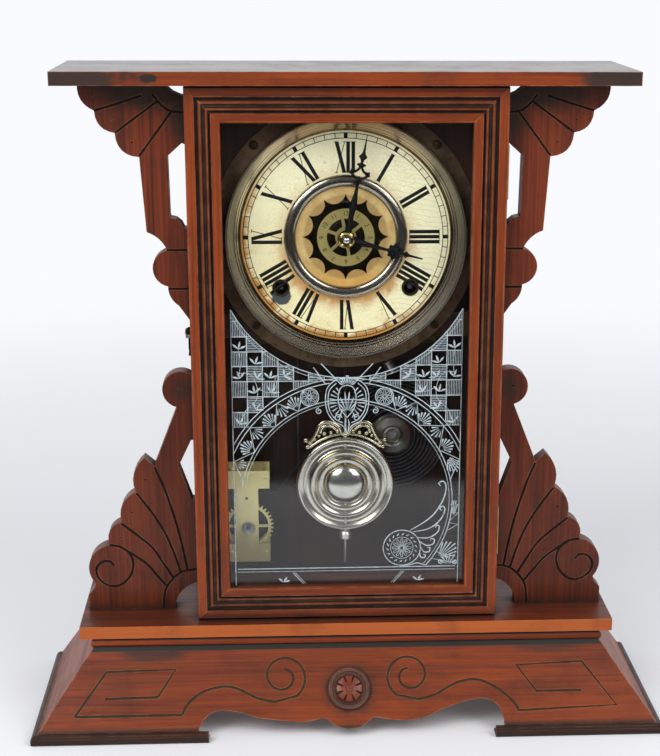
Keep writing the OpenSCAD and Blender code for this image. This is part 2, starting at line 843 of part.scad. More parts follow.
module dial_pan() {
    disc_r = paper_r + 1.8;
    color([0.35, 0.3, 0.25])
        translate([0, 0, dial_z]) {
            difference() {
                union() {
                    slab(paper_y + 0.3, paper_y + 0.3 + sheet_t) circle(r = disc_r);
                    facing(0, flange_y + sheet_t, 0)
                        rotate_extrude()
                            polygon([[disc_r - sheet_t, 0], [flange_r, 0], [flange_r, sheet_t],
                                [disc_r, sheet_t], [disc_r, flange_y + sheet_t - paper_y - 0.3],
                                [disc_r - sheet_t, flange_y + sheet_t - paper_y - 0.3]]);
                }
                slab(paper_y - 1, flange_y + 1) dial_opening();
                slab(paper_y - 1, flange_y + 1) winding_holes(hole_r);
                for (a = [45:90:315])
                    bar_y(dial_screw_r * cos(a), dial_screw_r * sin(a), paper_y, flange_y + 2, screw_r + touch);
            }
        }
}

module dial_paper() {
    color([0.86, 0.8, 0.66])
        translate([0, 0, dial_z])
            slab(paper_y, paper_y + 0.3 - touch)
                difference() {
                    circle(r = paper_r);
                    dial_opening();
                    winding_holes(hole_r);
                }
}

module dial_rings() {
    rise = 3;
    mid = (ring_outer_r + ring_inner_r) / 2;
    half = (ring_outer_r - ring_inner_r) / 2;
    color([0.7, 0.62, 0.45]) {
        // flared bezel with its rolled edge and skirt
        facing(0, paper_y - touch, dial_z)
            rotate_extrude($fn = 96)
                polygon([[paper_r - 2, 0], [paper_r - 1, 0], [bezel_r - 1, bezel_rise - 1.2],
                    [bezel_r - 1, -2.1], [bezel_r, -2.1], [bezel_r + 0.2, bezel_rise - 0.6],
                    [bezel_r - 0.5, bezel_rise], [bezel_r - 1.4, bezel_rise - 0.2]]);
        // half-round inner ring
        facing(0, paper_y - touch, dial_z)
            rotate_extrude()
                polygon([for (a = [0:15:180]) [mid + half * cos(a), rise * sin(a)]]);
    }
}

module winding_grommets() {
    color(brass)
        for (side = [-1, 1])
            facing(side * wind_x, paper_y + 2, dial_z - wind_z)
                rotate_extrude()
                    polygon([[hole_r - 1, 0], [hole_r - touch, 0], [hole_r - touch, 2 + touch],
                        [hole_r + 0.6, 2 + touch], [hole_r + 0.3, 2.9], [hole_r - 0.6, 2.9], [hole_r - 1, 2.4]]);
}

// Hands: x right, y towards the tip; the nut that holds them has a brass washer in one with it
pipe_r = 3.2;
cannon_r = 2.2;
hour_y = paper_y - 9;
minute_y = paper_y - 12;
hand_t = 1;

// A quarter of a thin ring, from the angle start on
module quarter_ring(r, start, band) {
    intersection() {
        difference() {
            circle(r = r + band / 2);
            circle(r = r - band / 2);
        }
        rotate(start) square(2 * r);
    }
}

// A four-pointed spot
module diamond(x, y) {
    polygon([[-x, 0], [-x * 0.25, y * 0.3], [0, y], [x * 0.25, y * 0.3], [x, 0],
        [x * 0.25, -y * 0.3], [0, -y], [-x * 0.25, -y * 0.3]]);
}

module minute_outline() {
    l = minute_l;
    horn = l * 0.08;
    horn_y = l * 0.677;
    difference() {
        union() {
            circle(r = 4.2);
            polygon([[-0.9, 0], [-1.3, l * 0.36], [-0.4, l * 0.56], [0.4, l * 0.56], [1.3, l * 0.36], [0.9, 0]]);
            translate([0, l * 0.595]) diamond(2.2, 4);
            // two horns, each joined to the cross above it by a curved bar
            for (side = [0, 1])
                mirror([side, 0]) {
                    translate([0, horn_y]) quarter_ring(horn, 270, 1);
                    translate([horn, horn_y + horn]) quarter_ring(horn, 180, 0.9);
                    translate([horn, horn_y - 0.4]) rotate(-25) diamond(1.9, 2.4);
                }
            translate([0, l * 0.75]) diamond(2.8, 3.2);
            polygon([[-0.7, l * 0.74], [-0.6, l * 0.8], [0.6, l * 0.8], [0.7, l * 0.74]]);
            translate([0, l * 0.827]) diamond(2.2, 3.4);
            translate([0, l * 0.827]) circle(r = 1.4);
            polygon([[-0.6, l * 0.84], [-0.25, l], [0.25, l], [0.6, l * 0.84]]);
        }
        circle(r = cannon_r - 0.7 + touch);
    }
}

module hour_outline() {
    l = hour_l;
    arm = l * 0.105;
    difference() {
        union() {
            circle(r = 5.2);
            polygon([[-1.1, 0], [-1.5, l * 0.34], [-0.5, l * 0.54], [0.5, l * 0.54], [1.5, l * 0.34], [1.1, 0]]);
            // cross with a lobe between each pair of points
            translate([0, l * 0.63]) {
                for (turn = [0, 90]) rotate(turn) diamond(arm * 0.62, arm);
                for (turn = [45:90:315]) rotate(turn) translate([arm * 0.42, 0]) circle(r = arm * 0.3);
            }
            polygon([[-0.6, l * 0.7], [-0.5, l * 0.8], [0.5, l * 0.8], [0.6, l * 0.7]]);
            translate([0, l * 0.789]) diamond(1.9, 2.4);
            polygon([[-0.5, l * 0.78], [-0.25, l], [0.25, l], [0.5, l * 0.78]]);
        }
        circle(r = pipe_r + touch);
    }
}

module hand(y, angle) {
    facing(0, y + hand_t, dial_z)
        rotate(-angle) linear_extrude(hand_t) children();
}

module minute_hand() {
    color(black) hand(minute_y, minute_a) minute_outline();
}

module hour_hand() {
    color(black) hand(hour_y, hour_a) hour_outline();
}

module hand_nut() {
    color(steel)
        facing(0, minute_y - touch, dial_z)
            rotate_extrude()
                polygon([[cannon_r - 0.7 + touch, 0], [5.2, 0], [5.2, 0.5], [4.5, 1], [3.4, 0.6], [2.5, 0.6],
                    [2.3, 1.7], [1.6, 2.6], [0.8, 3], [0, 3.1], [0, 2.2], [cannon_r - 0.7 + touch, 2.2]]);
}

module alarm_disc() {
    front = paper_y - 2;
    spokes = 6;
    color(brass)
        translate([0, 0, dial_z])
            difference() {
                slab(front, front + 0.8)
                    union() {
                        difference() {
                            circle(r = alarm_disc_r);
                            circle(r = alarm_disc_r * 0.66);
                        }
                        circle(r = alarm_disc_r * 0.37);
                        for (i = [0:spokes - 1])
                            rotate(i * 360 / spokes + 40)
                                translate([0, -1]) square([alarm_disc_r * 0.75, 2]);
                    }
                bar_y(0, 0, front - 1, front + 2, pipe_r + run_fit);
            }
}

// ---- wheels ----

// Outline of a wheel or pinion: thin pointed teeth, the first one at angle phase
function gear_points(teeth, m, phase) = [for (i = [0:teeth - 1]) for (k = [0:3])
    let (half = (k == 0 || k == 3) ? 0.27 : 0.13,
        side = k < 2 ? -1 : 1,
        r = (k == 0 || k == 3) ? m * (teeth / 2 - 1.2) : m * (teeth / 2 + 0.8),
        a = phase + (i + side * half) * 360 / teeth)
    r * [cos(a), sin(a)]];

// Where two circles round a and b meet
function meet(a, ra, b, rb, side) = let (d = norm(b - a), u = (b - a) / d,
    t = (ra * ra - rb * rb + d * d) / (2 * d), h = sqrt(ra * ra - t * t))
    a + t * u + side * h * [-u[1], u[0]];
function heading(a, b) = atan2(b[1] - a[1], b[0] - a[0]);

// Teeth and modules of the trains
great_n = 96;
great_m = 0.6;
second_pinion_n = 16;
second_n = 32;
second_m = 1;
centre_pinion_n = 16;
centre_n = 80;
centre_m = 0.5;
third_n = 96;
third_m = 0.4;
leaf_n = 8;
escape_n = 32;
escape_r = 13;
strike_n = 64;
strike_m = 0.5;
cannon_n = 16;
minute_n = 48;
minute_m = 0.45;
minute_pinion_n = 12;
hour_n = 48;

// Places of the arbors, from the dial's centre
centre_at = [0, 0];
great_at = [wind_x, -wind_z];
second_at = meet(centre_at, second_m * (second_n + centre_pinion_n) / 2,
    great_at, great_m * (great_n + second_pinion_n) / 2, 1);
escape_at = [0, pendulum_up - 17];
third_at = meet(centre_at, centre_m * (centre_n + leaf_n) / 2,
    escape_at, third_m * (third_n + leaf_n) / 2, 1);
strike_great_at = [-wind_x, -wind_z];
strike_at = [-second_at[0], second_at[1]];
fly_at = strike_at + strike_m * (strike_n + leaf_n) / 2 * [cos(145), sin(145)];
hammer_at = [12, -plate_down + 13];
verge_at = [0, pendulum_up];
minute_at = minute_m * (cannon_n + minute_n) / 2 * [cos(215), sin(215)];
hour_m = 2 * norm(minute_at) / (minute_pinion_n + hour_n);

// A crossed-out wheel in the layer that starts at front
module wheel(teeth, m, phase, front, thick, spokes) {
    root = m * (teeth / 2 - 1.2);
    rim = max(1.6, root * 0.12);
    slab(front, front + thick)
        difference() {
            polygon(gear_points(teeth, m, phase));
            if (spokes > 0)
                difference() {
                    circle(r = root - rim);
                    circle(r = max(3.4, root * 0.2));
                    for (i = [0:spokes - 1])
                        rotate(i * 360 / spokes) translate([0, -1]) square([root, 2]);
                }
        }
}

module pinion(teeth, m, phase, front, thick) {
    slab(front, front + thick) polygon(gear_points(teeth, m, phase));
}

// An arbor between the plates with its two pivots
module arbor(r = arbor_r) {
    bar_y(0, 0, inner_front + loose, inner_back - loose, r);
    bar_y(0, 0, plate_front_y - 0.4, plate_back_y + 0.4, pivot_r);
}

module place(at) {
    translate([at[0], 0, dial_z + at[1]]) children();
}

module centre_wheel() {
    color(brass)
        place(centre_at) {
            arbor();
            wheel(centre_n, centre_m, heading(centre_at, third_at) + 180 / centre_n, inner_front + 17, 1.2, 4);
            pinion(centre_pinion_n, second_m, heading(centre_at, second_at), inner_back - 6, 2.8);
            // cannon and its pinion in front of the plate, and the square for the minute hand
            bar_y(0, 0, minute_y + hand_t + touch, plate_front_y - loose, cannon_r);
            bar_y(0, 0, minute_y - 1.6, plate_front_y, cannon_r - 0.7);
            pinion(cannon_n, minute_m, heading(centre_at, minute_at), plate_front_y - 3.4, 2);
        }
}

module hour_wheel() {
    front = plate_front_y - 6.2;
    color(brass)
        place(centre_at)
            difference() {
                union() {
                    wheel(hour_n, hour_m, heading(centre_at, minute_at) + 180 / hour_n, front, 1, 0);
                    bar_y(0, 0, hour_y - 0.4, front + 1, pipe_r);
                    bar_y(0, 0, front - 1.4, front + 0.5, pipe_r + 2);
                }
                bar_y(0, 0, hour_y - 2, front + 3, cannon_r + run_fit);
            }
}

module minute_wheel() {
    color(brass)
        place(minute_at)
            difference() {
                union() {
                    wheel(minute_n, minute_m, heading(minute_at, centre_at) + 180 / minute_n,
                        plate_front_y - 3, 1, 0);
                    pinion(minute_pinion_n, hour_m, heading(minute_at, centre_at),
                        plate_front_y - 6.6, 3.7);
                }
                bar_y(0, 0, plate_front_y - 8, plate_front_y, pivot_r + run_fit);
            }
}

// Great wheel: runs free on the winding arbor, with its click on the back
module great_wheel(at, mate) {
    place(at)
        difference() {
            union() {
                wheel(great_n, great_m, heading(at, mate) + 180 / great_n, inner_front + 1, 1.6, 0);
                bar_y(0, 12.4, inner_front + 2, inner_front + 4.4, 1.4);
            }
            bar_y(0, 0, inner_front, inner_front + 6, great_arbor_r + run_fit);
        }
}
great_arbor_r = 3;

module time_great_wheel() {
    color(brass) great_wheel(great_at, second_at);
}

module strike_great_wheel() {
    color(brass) great_wheel(strike_great_at, strike_at);
}

// Winding arbor with its ratchet behind the great wheel and its square at the dial
module winding_arbor(at) {
    square_w = 4;
    place(at) {
        bar_y(0, 0, inner_front + loose, inner_back - loose, great_arbor_r);
        bar_y(0, 0, plate_front_y - 0.5, plate_back_y + 0.4, great_arbor_r - 1);
        slab(paper_y + 3, plate_front_y - 0.4) square(square_w * 0.7, center = true);
        slab(inner_front + 2.9, inner_front + 4.3) polygon(gear_points(20, 0.9, 90 + 9));
    }
}

module time_winding_arbor() {
    color(steel) winding_arbor(great_at);
}

module strike_winding_arbor() {
    color(steel) winding_arbor(strike_great_at);
}

module time_second_wheel() {
    color(brass)
        place(second_at) {
            arbor();
            pinion(second_pinion_n, great_m, heading(second_at, great_at), inner_front + 0.6, 2.4);
            wheel(second_n, second_m, heading(second_at, centre_at) + 180 / second_n, inner_back - 5.4, 1.6, 4);
        }
}

module time_third_wheel() {
    color(brass)
        place(third_at) {
            arbor(arbor_r * 0.9);
            pinion(leaf_n, centre_m, heading(third_at, centre_at), inner_front + 16.4, 2.4);
            wheel(third_n, third_m, heading(third_at, escape_at) + 180 / third_n, inner_front + 7, 1, 4);
        }
}

// Escape wheel: raked pointed teeth
module escape_wheel() {
    color(brass)
        place(escape_at) {
            arbor(arbor_r * 0.75);
            pinion(leaf_n, third_m, heading(escape_at, third_at), inner_front + 6.4, 2.2);
            slab(inner_front + 1, inner_front + 2)
                difference() {
                    polygon([for (i = [0:escape_n - 1]) for (k = [0:2])
                        let (a = 90 + (i + [-0.3, 0.35, 0.45][k]) * 360 / escape_n,
                            r = [escape_r - 2.2, escape_r, escape_r - 2.2][k])
                        r * [cos(a), sin(a)]]);
                    difference() {
                        circle(r = escape_r - 4);
                        circle(r = 2.6);
                        for (a = [0:90:270]) rotate(a) translate([0, -0.8]) square([escape_r - 3, 1.6]);
                    }
                }
        }
}

// Verge: a bent steel strip over the escape wheel, with the crutch in front of the plate
fork_z = pendulum_up - 28;
module verge() {
    reach = norm(verge_at - escape_at);
    span = 38;
    color(steel) {
        place(verge_at) {
            bar_y(0, 0, plate_front_y - 5.4, inner_back - loose, arbor_r * 0.8);
            bar_y(0, 0, inner_back - 1, plate_back_y + 0.4, pivot_r);
            slab(inner_front + 0.8, inner_front + 2.2)
                polygon(concat(
                    [for (a = [90 - span:6:90 + span]) (escape_r + 2.4) * [cos(a), sin(a)] - [0, reach]],
                    [for (a = [90 + span:-6:90 - span]) (escape_r + 0.9) * [cos(a), sin(a)] - [0, reach]]));
            slab(inner_front + 0.8, inner_front + 2.2)
                polygon([[-1.6, escape_r + 2 - reach], [-1, 1], [1, 1], [1.6, escape_r + 2 - reach]]);
            slab(plate_front_y - 5.4, plate_front_y - 4.4)
                polygon([[-2, 1.1], [2, 1.1], [1.2, fork_z - pendulum_up], [-1.2, fork_z - pendulum_up]]);
        }
        // fork round the pendulum rod
        place([0, fork_z])
            difference() {
                block([-2.4, rod_y - 2.4, -0.6], [2.4, plate_front_y - 4.4, 0.6]);
                block([-rod_r - 0.25, rod_y - 1.5, -2], [rod_r + 0.25, plate_front_y - 6, 2]);
            }
    }
}

// Mainsprings: flat spirals from the arbor's hub to the tail
spring_turns = 8;
function spiral(r0, r1, turns, start) = [for (i = [0:turns * 24])
    let (a = start + i * 15, r = r0 + (r1 - r0) * i / (turns * 24)) r * [cos(a), sin(a)]];
module spiral_band(r0, r1, turns, start, thick) {
    inner = spiral(r0, r1, turns, start);
    outer = spiral(r0 + thick, r1 + thick, turns, start);
    polygon(concat(inner, [for (i = [len(outer) - 1:-1:0]) outer[i]]));
}

module mainsprings() {
    color(steel) {
        for (at = [great_at, strike_great_at])
            place(at)
                slab(inner_front + 5, inner_front + 5 + spring_w)
                    spiral_band(great_arbor_r + 0.1, spring_r - spring_t, spring_turns, 0, spring_t);
        translate([-alarm_x, 0, alarm_z])
            slab(alarm_front + 8, alarm_front + 16)
                spiral_band(alarm_arbor_r + 0.1, 13, 6, 0, 0.4);
    }
}

module strike_second_wheel() {
    pins = 8;
    color(brass)
        place(strike_at) {
            arbor();
            pinion(second_pinion_n, great_m, heading(strike_at, strike_great_at), inner_front + 0.6, 2.4);
            wheel(strike_n, strike_m, heading(strike_at, fly_at) + 180 / strike_n, inner_back - 2.8, 1.2, 4);
            for (i = [0:pins - 1])
                rotate([0, i * 360 / pins, 0])
                    bar_y(strike_m * strike_n / 2 - 2.6, 0, inner_back - 5, inner_back - 2.7, 0.6);
        }
}

module strike_fly() {
    vane = 11.5;
    color(brass)
        place(fly_at) {
            arbor(arbor_r * 0.75);
            pinion(leaf_n, strike_m, heading(fly_at, strike_at), inner_back - 3.4, 2.6);
            block([-vane, inner_front + 10, -0.3], [vane, inner_front + 15.5, 0.3]);
        }
}

// Hammer over the gong: the arbor turns between the plates, and the rod reaches down
module strike_hammer() {
    head_x = gong_x - hammer_at[0];
    head_z = gong_z + gong_r + 6 - dial_z - hammer_at[1];
    lean = atan2(head_x, -head_z);
    rod = norm([head_x, head_z]);
    color(steel)
        place(hammer_at) {
            arbor();
            bar_y(0, 0, gong_y - 2.5, gong_y + 2.5, 2.6);
            rotate([0, -lean, 0]) {
                translate([0, gong_y, -rod]) cylinder(h = rod, r = 0.8);
                translate([0, gong_y, -rod - 2]) cylinder(h = 9, r = 4);
            }
        }
}

// ---- plates ----

pillar_r = 3;
pillars = [[plate_x - 8, -plate_down + 7], [plate_x - 12, plate_up - 15]];

module plate_outline() {
    difference() {
        polygon([[-plate_x, -plate_down], [plate_x, -plate_down], [plate_x, plate_up - 14],
            [plate_x - 14, plate_up], [-plate_x + 14, plate_up], [-plate_x, plate_up - 14]]);
        // windows that lighten the plates
        both_sides_2d() translate([plate_x - 16, 6]) circle(r = 8);
        translate([-20, -plate_down + 8]) square([22, 16]);
    }
}

module arbor_holes() {
    for (at = [centre_at, second_at, third_at, escape_at, strike_at, fly_at, hammer_at])
        translate(at) circle(r = pivot_r + run_fit);
    for (at = [great_at, strike_great_at])
        translate(at) circle(r = great_arbor_r - 1 + run_fit);
    both_sides_2d() for (p = pillars) translate(p) circle(r = pillar_r - 1 + touch);
}

module movement_front_plate() {
    color(brass)
        translate([0, 0, dial_z]) {
            slab(plate_front_y, inner_front)
                difference() {
                    plate_outline();
                    arbor_holes();
                    translate(verge_at) circle(r = arbor_r * 0.8 + run_fit);
                }
            // stud of the minute wheel, and the trip wire's stud
            bar_y(minute_at[0], minute_at[1], plate_front_y - 7.4, plate_front_y + 0.5, pivot_r);
            bar_y(trip_x, -plate_down + 4, trip_y - 2, plate_front_y + 0.5, trip_stud_r);
            bar_y(trip_x, -plate_down + 4, trip_y - 2, trip_y - 1.2, trip_stud_r + 1.4);
        }
}

module movement_back_plate() {
    color(brass)
        translate([0, 0, dial_z])
            slab(inner_back, plate_back_y)
                difference() {
                    plate_outline();
                    arbor_holes();
                    translate(verge_at) circle(r = pivot_r + run_fit);
                    both_sides_2d() for (p = plate_screws) translate(p) circle(r = screw_r + touch);
                }
}

module plate_pillars() {
    nut_t = 2;
    color(brass)
        translate([0, 0, dial_z])
            both_sides()
                for (p = pillars) {
                    bar_y(p[0], p[1], inner_front + touch, inner_back - touch, pillar_r);
                    bar_y(p[0], p[1], plate_front_y - nut_t - 0.6, plate_back_y, pillar_r - 1);
                    facing(p[0], plate_front_y - touch, p[1])
                        difference() {
                            cylinder(h = nut_t, r = 3.6, $fn = 6);
                            translate([0, 0, -1]) cylinder(h = nut_t + 2, r = pillar_r - 1 + touch);
                        }
                }
}

// ---- pendulum ----

axis_z = dial_z + pendulum_up;
bob_z = shelf_z + bob_up;
slit_h = 4;

module suspension_post() {
    low = axis_z + 1.6;
    high = low + 7;
    color(brass)
        difference() {
            union() {
                block([-4, rod_y - 3, low], [4, plate_front_y - touch, high]);
                block([-7, plate_front_y - 1.4, low], [7, plate_front_y - touch, high]);
            }
            block([-0.6, rod_y - 4, low - 1], [0.6, rod_y + 2, low + slit_h]);
        }
}

// Wire rod with the suspension strip on top and a loop that clears the hands' arbor
module pendulum_rod() {
    loop_r = 9;
    low = bob_z - bob_r - 23;
    color(steel) {
        block([-0.125, rod_y - 1.5, axis_z - 8], [0.125, rod_y + 1.5, axis_z + slit_h + 1]);
        translate([0, rod_y, dial_z + loop_r]) cylinder(h = pendulum_up - loop_r - 5, r = rod_r);
        translate([0, rod_y, low]) cylinder(h = dial_z - loop_r - low, r = rod_r);
        facing(0, rod_y, dial_z)
            rotate_extrude() translate([loop_r, 0]) circle(r = rod_r, $fn = 16);
    }
}

module crest_outline() {
    for (side = [-1, 1]) {
        translate([side * 8, 0]) circle(r = 5);
        translate([side * 16, -4]) circle(r = 4);
        translate([side * 22, -8]) circle(r = 3);
    }
    translate([0, 4]) circle(r = 5);
    translate([-20, -14]) square([40, 12]);
}

module pendulum_bob() {
    rings = [0.95, 0.72, 0.66, 0.44, 0.4];
    half = bob_t / 2;
    color([0.75, 0.75, 0.72])
        difference() {
            union() {
                facing(0, rod_y + half, bob_z)
                    rotate_extrude($fn = 96)
                        polygon([[0, 0], [bob_r * 0.8, 0], [bob_r, half - 1], [bob_r, half + 1],
                            [bob_r * rings[0], half + 2], [bob_r * 0.9, half + 1.6],
                            [bob_r * rings[1], half + 2.4], [bob_r * rings[2], half + 1.8],
                            [bob_r * rings[3], half + 2.6], [bob_r * rings[4], half + 2],
                            [bob_r * 0.3, half + 3.4], [bob_r * 0.15, bob_t], [0, bob_t]]);
                translate([0, 0, bob_z + bob_r + 3])
                    slab(rod_y - 1.6, rod_y + 1.6) crest_outline();
            }
            translate([0, rod_y, bob_z - bob_r - 2]) cylinder(h = 2 * bob_r + 20, r = rod_r + run_fit);
        }
}

module rating_nut() {
    nut_h = 6;
    high = bob_z - bob_r - loose;
    color(brass)
        difference() {
            translate([0, rod_y, high - nut_h])
                rotate_extrude()
                    polygon([[0, 0], [2.4, 0], [4.2, 1], [4.2, nut_h - 1.6], [3, nut_h], [0, nut_h]]);
            translate([0, rod_y, high - nut_h - 1]) cylinder(h = nut_h + 2, r = rod_r + run_fit);
        }
}

// ---- gong ----

gong_y = board_front - 20;
module gong_base() {
    well_r = 6.4;
    color([0.72, 0.72, 0.7])
        facing(gong_x, board_front, gong_z)
            rotate_extrude()
                polygon([[0, 0], [10, 0], [10, 14], [gong_base_r, 16.5], [gong_base_r, 21],
                    [gong_base_r * 0.85, 23.4], [well_r + 1.4, 25], [well_r, 24.4], [well_r - 0.6, 20.5],
                    [3, 20], [3, 21.4], [0, 21.4]]);
}

// Rings of a round wire swept along a flat spiral
wire_sides = 6;
rings_per_turn = 24;
gong_r0 = gong_base_r + gong_wire_r + 0.2;
gong_r1 = gong_r - gong_wire_r;
gong_n = gong_turns * rings_per_turn;
gong_pitch = (gong_r1 - gong_r0) / gong_turns;
function gong_radius(i) = gong_r0 + (gong_r1 - gong_r0) * i / gong_n;
gong_points = [for (i = [0:gong_n]) for (k = [0:wire_sides - 1])
    let (a = -i * 360 / rings_per_turn + 20, t = k * 360 / wire_sides,
        r = gong_radius(i) + gong_wire_r * cos(t))
    [gong_x + r * cos(a), gong_y + gong_wire_r * sin(t), gong_z + r * sin(a)]];
gong_faces = concat(
    [for (i = [0:gong_n - 1]) for (k = [0:wire_sides - 1]) for (half = [0, 1])
        let (p = i * wire_sides + k, q = i * wire_sides + (k + 1) % wire_sides)
        half == 0 ? [p, q, q + wire_sides] : [p, q + wire_sides, p + wire_sides]],
    [for (k = [1:wire_sides - 2]) [0, k + 1, k]],
    [for (k = [1:wire_sides - 2]) [gong_n * wire_sides, gong_n * wire_sides + k, gong_n * wire_sides + k + 1]]);
echo("least gap between the gong's turns", gong_pitch - 2 * gong_wire_r);

module gong_coil() {
    color(steel) polyhedron(gong_points, gong_faces, convexity = 10);
}

// ---- alarm ----

alarm_front = case_front + 40;
alarm_gap = 20;
alarm_plate_t = 1.5;
alarm_back = alarm_front + alarm_gap + 2 * alarm_plate_t;
alarm_arbor_r = 2.2;
alarm_hammer_at = [-1, alarm_wheel_r + 4.5];

// I-shaped plate, drawn round the alarm's arbor
module alarm_outline() {
    difference() {
        union() {
            translate([-15, 29]) square([30, 13]);
            translate([-9, -13]) square([16, 43]);
            translate([-15, -25]) square([30, 13]);
        }
        for (p = alarm_pillars) translate(p) circle(r = 1.2 + touch);
        circle(r = alarm_arbor_r - 0.6 + run_fit);
        translate(alarm_hammer_at) circle(r = pivot_r + run_fit);
    }
}
alarm_pillars = [[-12, 35.5], [12, 35.5], [-12, -18.5], [12, -18.5]];

module alarm_frame() {
    color(brass)
        translate([-alarm_x, 0, alarm_z]) {
            slab(alarm_front, alarm_front + alarm_plate_t) alarm_outline();
            slab(alarm_back - alarm_plate_t, alarm_back) alarm_outline();
            for (p = alarm_pillars) {
                bar_y(p[0], p[1], alarm_front + alarm_plate_t + touch, alarm_back - alarm_plate_t - touch, 2);
                bar_y(p[0], p[1], alarm_front - 1, alarm_back + 0.5, 1.2);
                bar_y(p[0], p[1], alarm_back + touch, board_front, 2);
            }
        }
}

module alarm_winding_arbor() {
    color(steel)
        translate([-alarm_x, 0, alarm_z]) {
            bar_y(0, 0, alarm_front + alarm_plate_t + loose, alarm_back - alarm_plate_t - loose, alarm_arbor_r);
            bar_y(0, 0, alarm_front - 5, alarm_back + 0.5, alarm_arbor_r - 0.6);
            slab(alarm_front - 9, alarm_front - 2) square(3, center = true);
            slab(alarm_front - 1.6, alarm_front - 0.4) polygon(gear_points(16, 0.55, 0));
        }
}

module alarm_wheel() {
    teeth = 36;
    m = alarm_wheel_r / (teeth / 2 + 0.8);
    color(brass)
        translate([-alarm_x, 0, alarm_z])
            difference() {
                wheel(teeth, m, 90 + 180 / teeth, alarm_front + 4.5, 1.2, 4);
                bar_y(0, 0, alarm_front + 4, alarm_front + 7, alarm_arbor_r + run_fit);
            }
}

// Hammer with its two pallets over the wheel and a bent wire towards the gong
module alarm_hammer() {
    bend = [21, 0];
    head = [gong_x - gong_r - 5.5 + alarm_x, gong_z + 4 - alarm_z] - alarm_hammer_at;
    wire_r = 0.8;
    color(steel)
        translate([-alarm_x + alarm_hammer_at[0], 0, alarm_z + alarm_hammer_at[1]]) {
            bar_y(0, 0, alarm_front + alarm_plate_t + loose, alarm_back - alarm_plate_t - loose, 1.3);
            bar_y(0, 0, alarm_front - 0.4, alarm_back + 0.4, pivot_r);
            slab(alarm_front + 4.2, alarm_front + 6)
                polygon(concat([[1.2, 1.2], [-1.2, 1.2]],
                    [for (a = [116:-8:64]) (alarm_wheel_r + 0.9) * [cos(a), sin(a)] - alarm_hammer_at]));
            translate([0, gong_y, 0]) rotate([0, 90, 0]) cylinder(h = bend[0], r = wire_r);
            translate([bend[0], gong_y, bend[1]]) {
                sphere(r = wire_r);
                rotate([0, 90 - heading(bend, head), 0]) {
                    cylinder(h = norm(head - bend), r = wire_r);
                    translate([0, 0, norm(head - bend) - 5]) cylinder(h = 7, r = 3.2);
                }
            }
        }
}

// Thin wire from a stud on the front plate down to the alarm
trip_x = -32;
trip_y = plate_front_y - 3;
trip_stud_r = 1;
module trip_wire() {
    wire_r = 0.5;
    loop_r = trip_stud_r + 0.6 + wire_r;
    travel = 3;
    high = dial_z - plate_down + 4;
    low = alarm_z + 38;
    color(steel) {
        translate([trip_x, 0, high - travel / 2 + 0.4])
            slab(trip_y - wire_r, trip_y + wire_r)
                difference() {
                    hull() {
                        translate([0, -travel / 2]) circle(r = loop_r);
                        translate([0, travel / 2]) circle(r = loop_r);
                    }
                    hull() {
                        translate([0, -travel / 2]) circle(r = loop_r - 2 * wire_r);
                        translate([0, travel / 2]) circle(r = loop_r - 2 * wire_r);
                    }
                }
        translate([trip_x, trip_y, low]) cylinder(h = high - loop_r - travel + 0.6 - low, r = wire_r);
        translate([trip_x - 3, trip_y, low])
            rotate([90, 0, 0])
                rotate_extrude(angle = -180) translate([3, 0]) circle(r = wire_r, $fn = 16);
    }
}

shelf_board();
top_board();
case_sides();
back_board();
base_front_board();
base_flanks();
foot_mouldings();
bed_mouldings();
corner_blocks();
base_rosette();
upper_brackets();
lower_brackets();
mounting_blocks();
brass_screws();
door_stiles();
door_rails();
door_glass();
glass_beads();
hinge_case_leaves();
hinge_door_leaves();
hinge_pins();
latch_hook();
latch_pin();
dial_pan();
dial_paper();
dial_rings();
winding_grommets();
hour_hand();
minute_hand();
hand_nut();
alarm_disc();
movement_front_plate();
movement_back_plate();
plate_pillars();
centre_wheel();
hour_wheel();
minute_wheel();
time_great_wheel();
time_winding_arbor();
time_second_wheel();
time_third_wheel();
escape_wheel();
verge();
mainsprings();
strike_great_wheel();
strike_winding_arbor();
strike_second_wheel();
strike_fly();
strike_hammer();
suspension_post();
pendulum_rod();
pendulum_bob();
rating_nut();
gong_base();
gong_coil();
alarm_frame();
alarm_winding_arbor();
alarm_wheel();
alarm_hammer();
trip_wire();
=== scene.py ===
"""Dresses the parlour shelf clock: wood, brass, glass, printed dial, stencilled tablet and carving."""

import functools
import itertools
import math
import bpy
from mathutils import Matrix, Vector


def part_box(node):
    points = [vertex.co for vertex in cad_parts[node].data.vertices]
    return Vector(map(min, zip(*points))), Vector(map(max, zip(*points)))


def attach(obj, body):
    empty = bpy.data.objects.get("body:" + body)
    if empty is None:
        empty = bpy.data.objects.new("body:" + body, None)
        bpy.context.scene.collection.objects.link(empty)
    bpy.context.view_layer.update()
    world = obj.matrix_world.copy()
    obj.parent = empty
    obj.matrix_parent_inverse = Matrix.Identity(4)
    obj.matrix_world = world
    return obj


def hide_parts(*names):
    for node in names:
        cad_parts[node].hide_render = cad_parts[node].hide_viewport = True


bl_info = {
    "name": "Parlour shelf clock",
    "version": (1, 0, 0),
    "blender": (4, 5, 0),
    "location": "View3D > Sidebar > Clock",
    "description": "Finishes, dial print, stencilled glass and carving for a parlour shelf clock",
    "category": "Add Mesh",
}

import bpy
from mathutils import Matrix, Vector

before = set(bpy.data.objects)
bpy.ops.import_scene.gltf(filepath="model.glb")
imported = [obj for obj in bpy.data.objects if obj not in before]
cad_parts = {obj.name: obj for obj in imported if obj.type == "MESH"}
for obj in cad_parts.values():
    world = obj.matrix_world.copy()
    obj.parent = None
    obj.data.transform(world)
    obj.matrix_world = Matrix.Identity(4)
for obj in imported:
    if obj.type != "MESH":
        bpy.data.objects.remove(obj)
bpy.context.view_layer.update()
MM = 0.001


